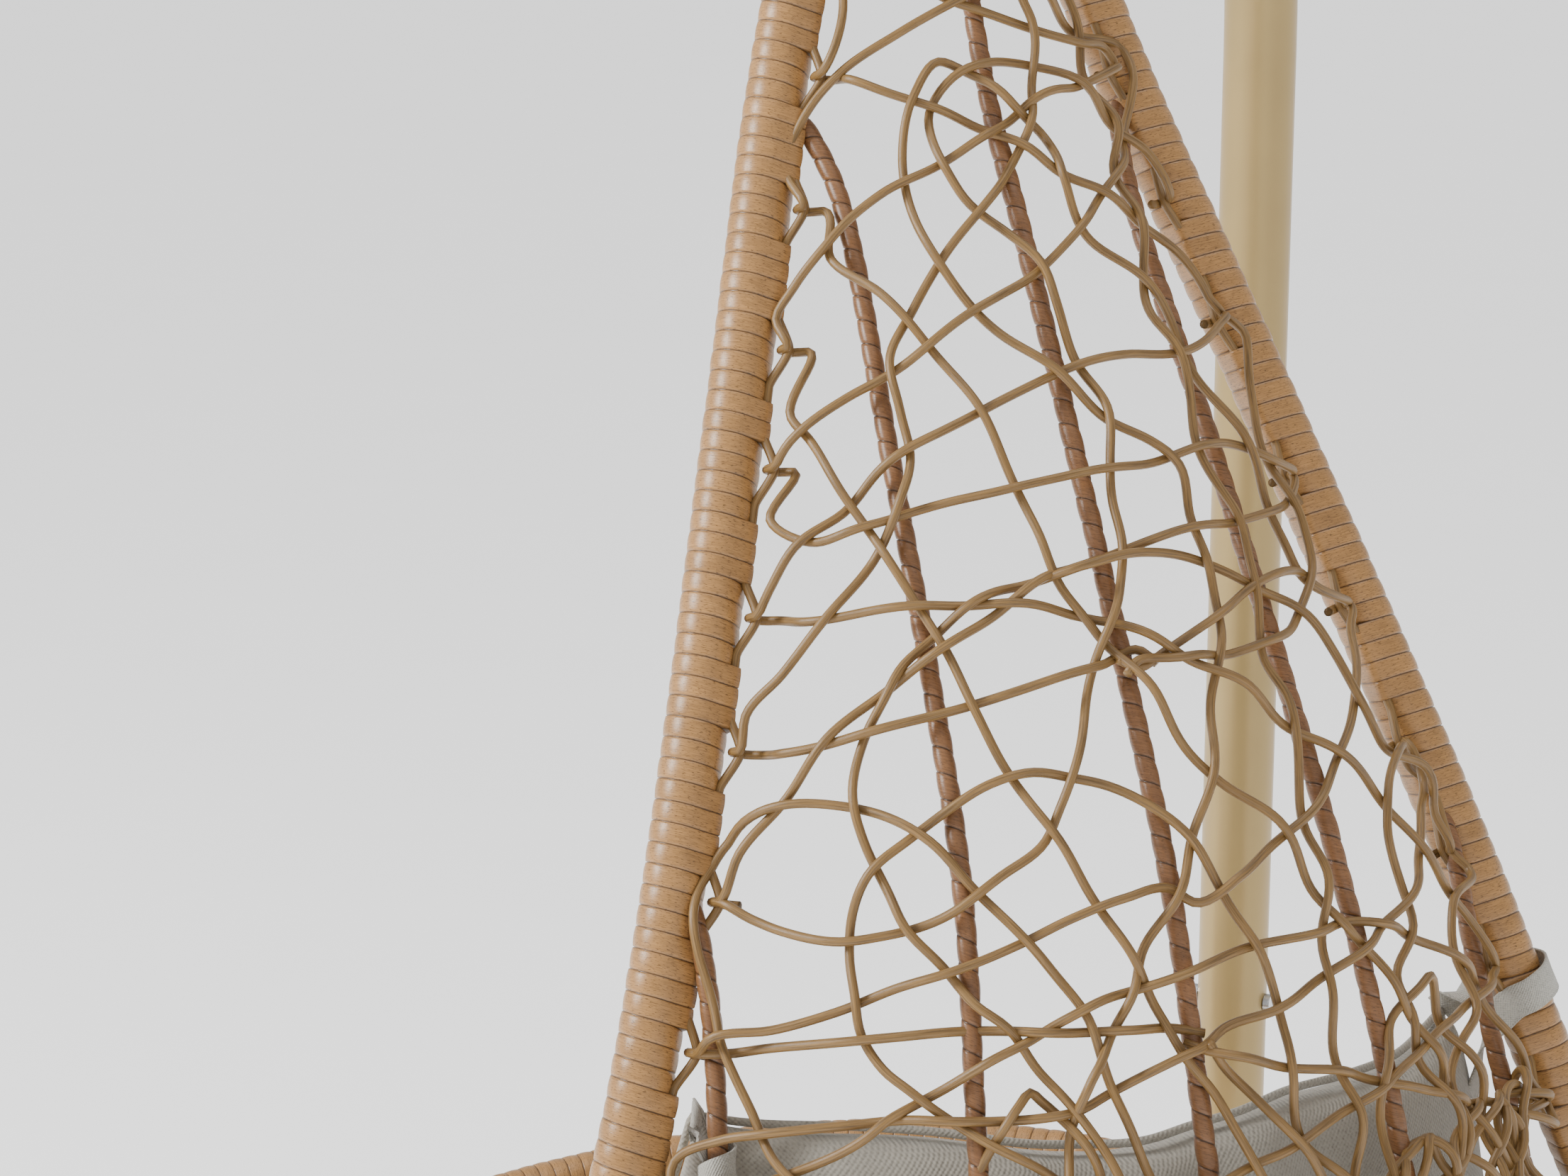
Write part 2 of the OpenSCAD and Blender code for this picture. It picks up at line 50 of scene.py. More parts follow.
# outlines as (x, y, depth below the datum)
HALF_HOOP = [[0, 0, 95], [38, -10, 125], [64, -22, 205], [101, 4, 320], [158, 85, 500], [221, 173, 700],
             [269, 222, 850], [318, 244, 980], [372, 205, 1085], [402, 105, 1138], [408, -40, 1150],
             [378, -200, 1152], [298, -335, 1146], [165, -415, 1138], [0, -438, 1134]]
CENTRE_RIB = [[0, 0, 95], [0, 8, 210], [0, 50, 320], [0, 105, 400], [0, 172, 500], [0, 236, 600],
              [0, 295, 700], [0, 334, 800], [0, 366, 900], [0, 386, 1000], [0, 375, 1100], [0, 322, 1188],
              [0, 225, 1252], [0, 90, 1289], [0, -60, 1296], [0, -215, 1272], [0, -345, 1215], [0, -438, 1134]]
INNER_RIB = [[104, 9, 330], [90, 34, 358], [85, 68, 400], [92, 141, 500], [98, 211, 600], [105, 274, 700],
             [115, 316, 800], [122, 348, 900], [129, 366, 1000], [134, 354, 1100], [138, 300, 1184],
             [140, 205, 1243], [141, 75, 1275], [140, -65, 1279], [137, -215, 1255], [132, -335, 1202],
             [125, -428, 1137]]
OUTER_RIB = [[222, 174, 703], [220, 208, 745], [223, 235, 810], [235, 266, 900], [254, 284, 1000],
             [270, 268, 1085], [280, 215, 1153], [285, 130, 1205], [286, 25, 1231], [283, -85, 1234],
             [274, -195, 1214], [258, -295, 1177], [240, -378, 1141]]
CROSS_Y = -30
MIDDLE = np.array([0, 40, -900.0])

TUBE_R = 16.4
RIB_R = 5.1
STRAND_R = 2.5
RIB_PITCH = 14.0
STRAND_OUT = 10.5
rng = np.random.default_rng(7)


def rise(points):
    """Outline points with depth turned to height."""
    return np.array(points, float) * [1, 1, -1]


def mirror(points):
    return np.array(points, float) * [-1, 1, 1]


def placed(p):
    """Basket frame in mm to the part's frame in m."""
    p = np.asarray(p, float)
    x, y, z = p[..., 0], p[..., 1], p[..., 2]
    c, s = math.cos(TURN), math.sin(TURN)
    return np.stack([x * c - y * s, x * s + y * c, DATUM + z], -1) / 1000


def unit(v):
    return v / np.maximum(np.linalg.norm(v, axis=-1, keepdims=True), 1e-9)


def curve(points, t, closed=False):
    """Catmull-Rom through points at index t."""
    p, t = np.asarray(points, float), np.asarray(t, float)
    n = len(p)
    if not closed:
        p = np.vstack([2 * p[0] - p[1], p, 2 * p[-1] - p[-2]])
        i = np.clip(np.floor(t).astype(int), 0, n - 2)
        a, b, c, d = p[i], p[i + 1], p[i + 2], p[i + 3]
    else:
        i = np.floor(t).astype(int)
        a, b, c, d = (p[(i + k) % n] for k in (-1, 0, 1, 2))
    f = (t - i)[..., None]
    return 0.5 * (2 * b + (c - a) * f + (2 * a - 5 * b + 4 * c - d) * f**2 + (3 * b - a - 3 * c + d) * f**3)


HOOP, CENTRE = rise(HALF_HOOP), rise(CENTRE_RIB)
LOOP = np.vstack([HOOP, mirror(HOOP[-2:0:-1])])
HOOP_STOPS = [-z for z in HOOP[:8, 2]] + [1000]
CENTRE_STOPS = [-z for z in CENTRE[:10, 2]]


def hoop_index(v):
    return np.where(v <= 1000, np.interp(v, HOOP_STOPS, [0, 1, 2, 3, 4, 5, 6, 7, 7.2]), 7.2 + (v - 1000) / 800 * 4.7)


def centre_index(v):
    return np.where(v <= 1000, np.interp(v, CENTRE_STOPS, range(10)), 9 + (v - 1000) / 100)


def nest(u, v):
    """The basket's woven surface: u runs from 1 at the left hoop to -1 at the right one.

    v is the depth in mm down to 1000, then goes on under the seat to 1800 at its front.
    """
    u, v = np.asarray(u, float), np.asarray(v, float)
    h, c = curve(HOOP, hoop_index(v)), curve(CENTRE, centre_index(v))
    w = 1 - np.abs(u) ** 2.3
    return np.stack([u * h[..., 0], h[..., 1] + (c - h)[..., 1] * w, h[..., 2] + (c - h)[..., 2] * w], -1)


def nest_out(u, v):
    """Unit vector out of that surface."""
    u = np.clip(u, -0.97, 0.97)
    du, dv = nest(u + 0.01, v) - nest(u - 0.01, v), nest(u, v + 3) - nest(u, v - 3)
    out = unit(np.cross(du, dv))
    return out * np.sign(((nest(u, v) - MIDDLE) * out).sum(-1, keepdims=True))


class Line:
    """A sampled line with a frame whose normal points along side(point, index)."""

    def __init__(self, points, side, closed=False, step=3.0):
        n = len(points) if closed else len(points) - 1
        t = np.linspace(0, n, int(n * 120 / step))
        p = curve(points, t if not closed else t % n, closed)
        s = np.concatenate([[0], np.cumsum(np.linalg.norm(np.diff(p, axis=0), axis=1))])
        self.length = s[-1]
        self.s = np.linspace(0, self.length, int(self.length / step))
        self.t = np.interp(self.s, s, t)
        self.p = np.stack([np.interp(self.s, s, p[:, k]) for k in range(3)], -1)
        tan = np.gradient(self.p, axis=0)
        if closed:
            tan[0] = tan[-1] = self.p[1] - self.p[-2]
        self.tan = unit(tan)
        nor = side(self.p, self.t)
        self.nor = unit(nor - self.tan * (nor * self.tan).sum(-1, keepdims=True))

    def at(self, s):
        def mix(a):
            return np.stack([np.interp(s, self.s, a[:, k]) for k in range(3)], -1)

        tan, nor = unit(mix(self.tan)), unit(mix(self.nor))
        return mix(self.p), tan, nor, np.cross(tan, nor)


# ---- meshes ----
def make(name, verts, faces, body, slot, uvs=None, hides=()):
    """A mesh piece from points in the part's frame, with uvs one for each face corner."""
    me = bpy.data.meshes.new(name)
    me.from_pydata(np.asarray(verts).reshape(-1, 3).tolist(), [], [list(f) for f in faces])
    if uvs is not None:
        layer = me.uv_layers.new(name="UVMap")
        layer.data.foreach_set("uv", np.asarray(uvs, np.float32).ravel())
    me.validate()
    me.polygons.foreach_set("use_smooth", [True] * len(me.polygons))
    o = bpy.data.objects.new(name, me)
    bpy.context.scene.collection.objects.link(o)
    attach(o, body)
    me.materials.append(materials[slot])
    if hides:
        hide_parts(*hides)
    return o


def socket(node, name, value):
    node.inputs[name].default_value = value


class Paint:
    """A node material with a short way to add and join nodes."""

    def __init__(self, name, rough, metallic=0.0, **more):
        self.m = bpy.data.materials.new(name)
        self.m.use_nodes = True
        self.tree = self.m.node_tree
        self.bsdf = self.tree.nodes["Principled BSDF"]
        socket(self.bsdf, "Roughness", rough)
        socket(self.bsdf, "Metallic", metallic)
        for k, v in more.items():
            socket(self.bsdf, k.replace("_", " "), v)

    def add(self, kind, inputs=None, **settings):
        node = self.tree.nodes.new("ShaderNode" + kind)
        for k, v in settings.items():
            setattr(node, k, v)
        for k, v in (inputs or {}).items():
            if isinstance(v, bpy.types.NodeSocket):
                self.tree.links.new(v, node.inputs[k])
            else:
                node.inputs[k].default_value = v
        return node

    def noise(self, vector, scale, detail=3.0, rough=0.6):
        inputs = {"Vector": vector, "Scale": scale, "Detail": detail, "Roughness": rough}
        return self.add("TexNoise", inputs).outputs[0]

    def math(self, how, a, b=0.0):
        node = self.add("Math", operation=how)
        for k, v in ((0, a), (1, b)):
            if isinstance(v, bpy.types.NodeSocket):
                self.tree.links.new(v, node.inputs[k])
            else:
                node.inputs[k].default_value = v
        return node.outputs[0]

    def ramp(self, fac, stops):
        node = self.add("ValToRGB", {"Fac": fac})
        for i, (at, value) in enumerate(stops):
            e = node.color_ramp.elements[i] if i < 2 else node.color_ramp.elements.new(at)
            e.position, e.color = at, (*value, 1) if len(value) == 3 else value
        return node.outputs[0]

    def blend(self, fac, a, b, how="MIX"):
        node = self.add("Mix", data_type="RGBA", blend_type=how)
        for k, v in ((0, fac), (6, a), (7, b)):
            if isinstance(v, bpy.types.NodeSocket):
                self.tree.links.new(v, node.inputs[k])
            else:
                node.inputs[k].default_value = v if k == 0 else (*v, 1)
        return node.outputs[2]

    def colour(self, value):
        self.tree.links.new(value, self.bsdf.inputs["Base Color"])

    def rough(self, value):
        self.tree.links.new(value, self.bsdf.inputs["Roughness"])

    def bump(self, height, strength, distance, before=None):
        inputs = {"Height": height, "Strength": strength, "Distance": distance}
        if before:
            inputs["Normal"] = before
        out = self.add("Bump", inputs).outputs[0]
        self.tree.links.new(out, self.bsdf.inputs["Normal"])
        return out


def shades(colour, *factors):
    return [tuple(min(1, c * f) for c in colour) for f in factors]


def tape_paint(name, colour, groove_shade_colour, rough, flecks):
    """Flat plastic rattan: streaks and dark flecks along the tape, and painted shade: a dark line in the groove
    where turns meet.

    UV is mm along the tape and the share across it.
    """
    p = Paint(name, rough)
    uv = p.add("TexCoord").outputs["UV"]
    low, base, high = shades(colour, 0.72, 1.0, 1.25)
    along = p.add("Mapping", {"Vector": uv, "Scale": (0.09, 14.0, 1)}).outputs[0]
    streak = p.ramp(p.noise(along, 1.0, 5.0), [(0.3, low), (0.68, high), (0.5, base)])
    fine = p.add("Mapping", {"Vector": uv, "Scale": (0.42, 22.0, 1)}).outputs[0]
    fleck = p.ramp(p.noise(fine, 1.0, 2.0, 0.5), [(0.58, (0, 0, 0)), (0.66, (1, 1, 1))])
    patch = p.ramp(p.noise(p.add("Mapping", {"Vector": uv, "Scale": (0.011, 0.3, 1)}).outputs[0], 1.0, 2.0),
                   [(0.3, (0.84, 0.84, 0.84)), (0.7, (1.1, 1.1, 1.1))])
    toned = p.blend(1.0, streak, patch, "MULTIPLY")
    flecked = p.blend(p.math("MULTIPLY", fleck, flecks), toned, shades(colour, 0.3)[0])
    # painted shade: both edges of each turn are darkened to the groove shade colour, standing in for the shadow in
    # the gap between turns
    across = p.add("SeparateXYZ", {"Vector": uv}).outputs[1]
    edge = p.math("MINIMUM", across, p.math("SUBTRACT", 1.0, across))
    seam = p.ramp(edge, [(0.0, (1, 1, 1)), (0.055, (0, 0, 0))])
    p.colour(p.blend(p.math("MULTIPLY", seam, 0.85), flecked, groove_shade_colour))
    p.rough(p.math("ADD", rough - 0.06, p.math("MULTIPLY", p.noise(along, 2.0), 0.14)))
    p.bump(p.noise(fine, 1.0, 3.0), 0.25, 0.0004)
    return p.m


def strand_paint():
    colour = (0.245, 0.138, 0.044)
    p = Paint("strand", 0.42)
    uv = p.add("TexCoord").outputs["UV"]
    low, base, high = shades(colour, 0.48, 1.0, 1.45)
    along = p.add("Mapping", {"Vector": uv, "Scale": (0.035, 6.0, 1)}).outputs[0]
    streak = p.ramp(p.noise(along, 1.0, 5.0, 0.65), [(0.33, low), (0.7, high), (0.5, base)])
    fine = p.add("Mapping", {"Vector": uv, "Scale": (0.07, 22.0, 1)}).outputs[0]
    dark = p.ramp(p.noise(fine, 1.0, 3.0), [(0.56, (0, 0, 0)), (0.66, (1, 1, 1))])
    p.colour(p.blend(p.math("MULTIPLY", dark, 0.5), streak, shades(colour, 0.36)[0]))
    p.rough(p.math("ADD", 0.34, p.math("MULTIPLY", p.noise(along, 2.0), 0.16)))
    p.bump(p.noise(fine, 1.0, 3.0), 0.3, 0.0003)
    return p.m


def woven_paint(name, colour, pitch, use_uv=False):
    """Coarse cloth: threads over and under at the pitch in metres, heathered colour."""
    p = Paint(name, 0.88, Sheen_Weight=0.25, Sheen_Roughness=0.6)
    if use_uv:
        v = p.add("TexCoord").outputs["UV"]
    else:
        place = p.add("TexCoord").outputs["Object"]
        v = p.add("Mapping", {"Vector": place, "Rotation": (0, 0, -TURN)}).outputs[0]
    sep = p.add("SeparateXYZ", {"Vector": v})
    a, b = sep.outputs[0], sep.outputs[1 if use_uv else 2]
    k = 2 * math.pi / pitch
    sa, sb = p.math("SINE", p.math("MULTIPLY", a, k)), p.math("SINE", p.math("MULTIPLY", b, k))
    over = p.math("MULTIPLY", sa, sb)
    warp = p.math("ABSOLUTE", p.math("SINE", p.math("MULTIPLY", a, k / 2)))
    weft = p.math("ABSOLUTE", p.math("SINE", p.math("MULTIPLY", b, k / 2)))
    thread = p.math("ADD", p.math("MULTIPLY", p.math("MAXIMUM", warp, weft), 0.4), p.math("MULTIPLY", over, 0.6))
    low, high = shades(colour, 0.62, 1.16)
    heather = p.noise(v, 420.0, 4.0, 0.7)
    mixed = p.math("ADD", p.math("MULTIPLY", thread, 0.28), heather)
    cloth = p.ramp(mixed, [(0.25, low), (0.8, high), (0.5, colour)])
    soil = p.ramp(p.noise(v, 7.0, 2.0), [(0.3, (0.93, 0.93, 0.93)), (0.7, (1.05, 1.05, 1.05))])
    p.colour(p.blend(1.0, cloth, soil, "MULTIPLY"))
    first = p.bump(thread, 0.55, 0.0007)
    p.bump(heather, 0.3, 0.0004, first)
    return p.m


def metal_paint(name, colour, rough, metallic, grain, strength, scratch=0.0):
    p = Paint(name, rough, metallic)
    v = p.add("TexCoord").outputs["Object"]
    low, high = shades(colour, 0.93, 1.05)
    p.colour(p.ramp(p.noise(v, 9.0, 3.0), [(0.3, low), (0.7, high)]))
    peel = p.noise(v, grain, 2.0, 0.5)
    p.rough(p.math("ADD", rough - 0.04, p.math("MULTIPLY", p.noise(v, 60.0 + 400 * scratch, 3.0), 0.1)))
    p.bump(peel, strength, 0.0002)
    return p.m


# each tape's second colour is the painted shade in the grooves between its turns
materials = {
    "hoop_tape": tape_paint("hoop_tape", (0.43, 0.222, 0.075), (0.045, 0.022, 0.008), 0.33, 0.9),
    "rib_tape": tape_paint("rib_tape", (0.235, 0.108, 0.042), (0.022, 0.011, 0.005), 0.36, 0.6),
    "strand": strand_paint(),
    "canvas": woven_paint("canvas", (0.36, 0.335, 0.28), 0.0026),
    "tie_tape": woven_paint("tie_tape", (0.48, 0.46, 0.40), 0.0018, use_uv=True),
    "stand_coat": metal_paint("stand_coat", (0.44, 0.31, 0.125), 0.34, 0.35, 900.0, 0.25),
    "steel": metal_paint("steel", (0.60, 0.61, 0.62), 0.3, 1.0, 1600.0, 0.15, 1.0),
    "rubber": metal_paint("rubber", (0.03, 0.03, 0.03), 0.8, 0.0, 700.0, 0.4),
}
record_slots = {s["node"]: s["material_slot"] for s in frame["record"]["subparts"]}
for name, node in frame["nodes"].items():
    node.data.materials.clear()
    node.data.materials.append(materials[record_slots[name]])

# ---- wrapped tubes ----
ROWS = [0, 0.035, 0.12, 0.35, 0.6, 0.85, 0.965]
HEIGHTS = [-1.0, -0.1, 0.1, 0.35, 0.35, 0.1, -0.1]


def hull(delta):
    """Radius of a band round the tube and the edge cord beside it, at an angle from the cord."""
    alpha = math.acos((TUBE_R - STRAND_R) / (TUBE_R + STRAND_R))
    r = TUBE_R / np.cos(np.minimum(np.abs(alpha - np.abs(delta)), 1.2))
    return np.where(np.abs(delta) > alpha, TUBE_R, np.minimum(r, TUBE_R + 2 * STRAND_R))


def wrapped(line, pitch, radius, sides, covered=None, closed=False):
    """Points, faces, uvs and each face's turn of a tube wound with flat tape, in one helical surface."""
    turns = int(round(line.length / pitch)) if closed else int(line.length / pitch)
    pitch, rows = line.length / turns, len(ROWS)
    q, k = np.meshgrid(np.arange(turns * rows), np.arange(sides), indexing="ij")
    s = pitch * (q // rows + np.array(ROWS)[q % rows] + k / sides)
    s = s % line.length if closed else np.minimum(s, line.length)
    angle = math.pi - 2 * math.pi * k / sides
    p, tan, nor, bi = line.at(s.ravel())
    r = radius + np.array(HEIGHTS)[q % rows]
    jitter = rng.uniform(-0.18, 0.18, turns)[q // rows]
    r = r + jitter
    if covered is not None:
        r = r + np.where(covered[q // rows], hull(angle) - TUBE_R, 0)
    r, angle = r.ravel()[:, None], angle.ravel()[:, None]
    verts = (p + r * (np.cos(angle) * nor + np.sin(angle) * bi)).reshape(turns * rows, sides, 3)
    total = turns * rows
    number = np.arange(total * sides).reshape(total, sides)
    around = 2 * math.pi * radius
    faces, uvs, owner = [], [], []
    share = ROWS + [1.0]
    for row in range(total):
        turn, part = divmod(row, rows)
        for j in range(sides):
            far = (row + rows, 0) if j == sides - 1 else (row, j + 1)
            quad = [(row, j), (row + 1, j), (far[0] + 1, far[1]), far]
            if not closed and max(a for a, _ in quad) >= total:
                continue
            faces.append([number[a % total, b] for a, b in quad])
            x0, x1 = (turn + j / sides) * around, (turn + (j + 1) / sides) * around
            uvs += [(x0, share[part]), (x0, share[part + 1]), (x1, share[part + 1]), (x1, share[part])]
            owner.append(turn)
    return placed(verts.reshape(-1, 3)), np.array(faces), np.array(uvs).reshape(-1, 4, 2), np.array(owner)


def picked(verts, faces, uvs):
    """The faces with only the points that they use."""
    used, inverse = np.unique(faces, return_inverse=True)
    return verts[used], inverse.reshape(faces.shape), uvs.reshape(-1, 2)


def to_weave(p, t):
    """From the hoop towards the woven side: the back's middle for the sides, under the seat for the rest."""
    t = np.minimum(t, 28 - t)
    centre = np.stack([0 * t, np.interp(-p[:, 2], CENTRE_STOPS, CENTRE[:10, 1]) + 85, p[:, 2]], -1)
    under = np.stack([0 * t, 0.4 * p[:, 1], 0 * t - 1400], -1)
    w = np.clip((t - 7) / 2, 0, 1)[:, None]
    return unit(centre - p) * (1 - w) + unit(under - p) * w


hoop = Line(LOOP, to_weave, closed=True)
PITCH = 11.1
turns = int(round(hoop.length / PITCH))


def hoop_s(side, v):
    """Length along the hoop of depth v on a side, 1 left or -1 right."""
    t = float(hoop_index(np.array(float(v))))
    return float(np.interp(t if side > 0 else 28 - t, hoop.t, hoop.s))


GAPS_LEFT = [150, 202, 255, 323, 396, 462, 518, 587, 648, 718, 786]
GAPS_RIGHT = [150, 205, 262, 328, 402, 462, 543, 608, 680, 735, 797]
first, last = hoop_s(1, GAPS_LEFT[-1]), hoop_s(-1, GAPS_RIGHT[-1])
count = int((last - first) / 76)
gaps = np.array([hoop_s(1, v) for v in GAPS_LEFT]
                + [first + (last - first) * i / count for i in range(1, count)]
                + [hoop_s(-1, v) for v in reversed(GAPS_RIGHT)])
GAP_HALF = 19.0


def from_gap(s):
    """Distance from the nearest middle of a gap, for each length s."""
    return np.abs(np.asarray(s, float)[..., None] - gaps).min(-1)


covered = from_gap((np.arange(turns) + 0.5) * hoop.length / turns) > GAP_HALF
JOINT = [float(np.interp(t, hoop.t, hoop.s)) / hoop.length * turns for t in (10, 18)]
parts = wrapped(hoop, PITCH, TUBE_R, 32, covered, closed=True)
for name, low, high in (("hoop_wrap_left", 0, JOINT[0]), ("hoop_wrap_front", JOINT[0], JOINT[1]),
                        ("hoop_wrap_right", JOINT[1], turns)):
    keep = (parts[3] >= int(low)) & (parts[3] < int(high))
    v, f, uv = picked(parts[0], parts[1][keep], parts[2][keep])
    make(name, v, f, "basket", "hoop_tape", uv, [name.replace("_wrap", "")])


def outward(p, t):
    return p - MIDDLE


def rib(name, points, node):
    v, f, uv, _ = wrapped(Line(points, outward), RIB_PITCH, RIB_R, 16)
    make(name, v, f, "basket", "rib_tape", uv.reshape(-1, 2), [node])


rib("centre_rib_wrap", CENTRE, "centre_rib")
for side, word in ((1, "left"), (-1, "right")):
    for which, points in (("inner", INNER_RIB), ("outer", OUTER_RIB)):
        rib(f"{which}_rib_{word}_wrap", rise(points) * [side, 1, 1], f"{which}_rib_{word}")


def under(points):
    """Where a rib passes under the seat at CROSS_Y, one rib thickness lower."""
    p = curve(rise(points), np.linspace(len(points) * 0.6, len(points) - 1, 400))
    i = np.abs(p[:, 1] - CROSS_Y).argmin()
    return p[i] - [0, 0, 2 * RIB_R + 1]


edge = curve(HOOP, np.array(9.9))
half = [edge, (edge + under(OUTER_RIB)) / 2 + [14, 0, -18], under(OUTER_RIB), under(INNER_RIB)]
cross = np.array(half + [under(CENTRE_RIB)] + [p * [-1, 1, 1] for p in reversed(half)])
rib("cross_rib_wrap", cross, "cross_rib")


# ---- round tubes: edge cords and strands ----
def tube(points, radius, sides):
    """Points, faces and uvs of a round tube with closed ends along dense points in mm."""
    p = np.asarray(points, float)
    tan = unit(np.gradient(p, axis=0))
    nor = np.empty_like(p)
    n = unit(np.cross(tan[0], [0.3, 0.5, 0.81]))
    for i, t in enumerate(tan):
        n = n - t * (n @ t)
        n = n / max(np.linalg.norm(n), 1e-9)
        nor[i] = n
    bi = np.cross(tan, nor)
    a = 2 * math.pi * np.arange(sides) / sides
    ring = p[:, None] + radius * (np.cos(a)[None, :, None] * nor[:, None] + np.sin(a)[None, :, None] * bi[:, None])
    n = len(p)
    verts = np.vstack([ring.reshape(-1, 3), p[:1], p[-1:]])
    i, j = np.meshgrid(np.arange(n - 1), np.arange(sides), indexing="ij")
    k = (j + 1) % sides
    quads = np.stack([i * sides + j, i * sides + k, (i + 1) * sides + k, (i + 1) * sides + j], -1).reshape(-1, 4)
    s = np.concatenate([[0], np.cumsum(np.linalg.norm(np.diff(p, axis=0), axis=1))])
    around = 2 * math.pi * radius / 5
    uv = np.stack([np.stack([s[i + di], (j + dj) / sides * around], -1)
                   for di, dj in ((0, 0), (0, 1), (1, 1), (1, 0))], -2).reshape(-1, 2)
    caps, cap_uv, end = [], [], (n - 1) * sides
    for m in range(sides):
        after = (m + 1) % sides
        caps += [(n * sides, after, m), (n * sides + 1, end + m, end + after)]
        cap_uv += [(0, 0)] * 6
    return verts, quads.tolist() + caps, np.vstack([uv, cap_uv])


def joined(name, tubes, body, slot, hides=()):
    verts, faces, uvs, base = [], [], [], 0
    for v, f, uv in tubes:
        verts.append(v)
        faces += [[base + x for x in face] for face in f]
        uvs.append(uv)
        base += len(v)
    return make(name, placed(np.vstack(verts)), faces, body, slot, np.vstack(uvs), hides)


def cord_out(s):
    """How far the edge cord stands off the hoop's axis: held by the wrap, pulled to a point in each gap."""
    pull = np.clip(1 - from_gap(s) / (GAP_HALF + 1), 0, 1)
    return TUBE_R + 1.2 + 9.5 * (1 - (1 - pull) ** 1.6) * pull**0.35


def cord_at(s):
    p, tan, nor, _ = hoop.at(s)
    return p + nor * np.asarray(cord_out(s))[..., None], tan, nor


CORD_FROM_APEX = 60
front_from, front_to = JOINT[0] * PITCH, JOINT[1] * PITCH
for name, low, high in (("edge_cord_left", CORD_FROM_APEX, front_from),
                        ("edge_cord_front", front_from, front_to),
                        ("edge_cord_right", front_to, hoop.length - CORD_FROM_APEX)):
    joined(name, [tube(cord_at(np.arange(low, high, 2.5))[0], STRAND_R, 10)], "basket", "strand")

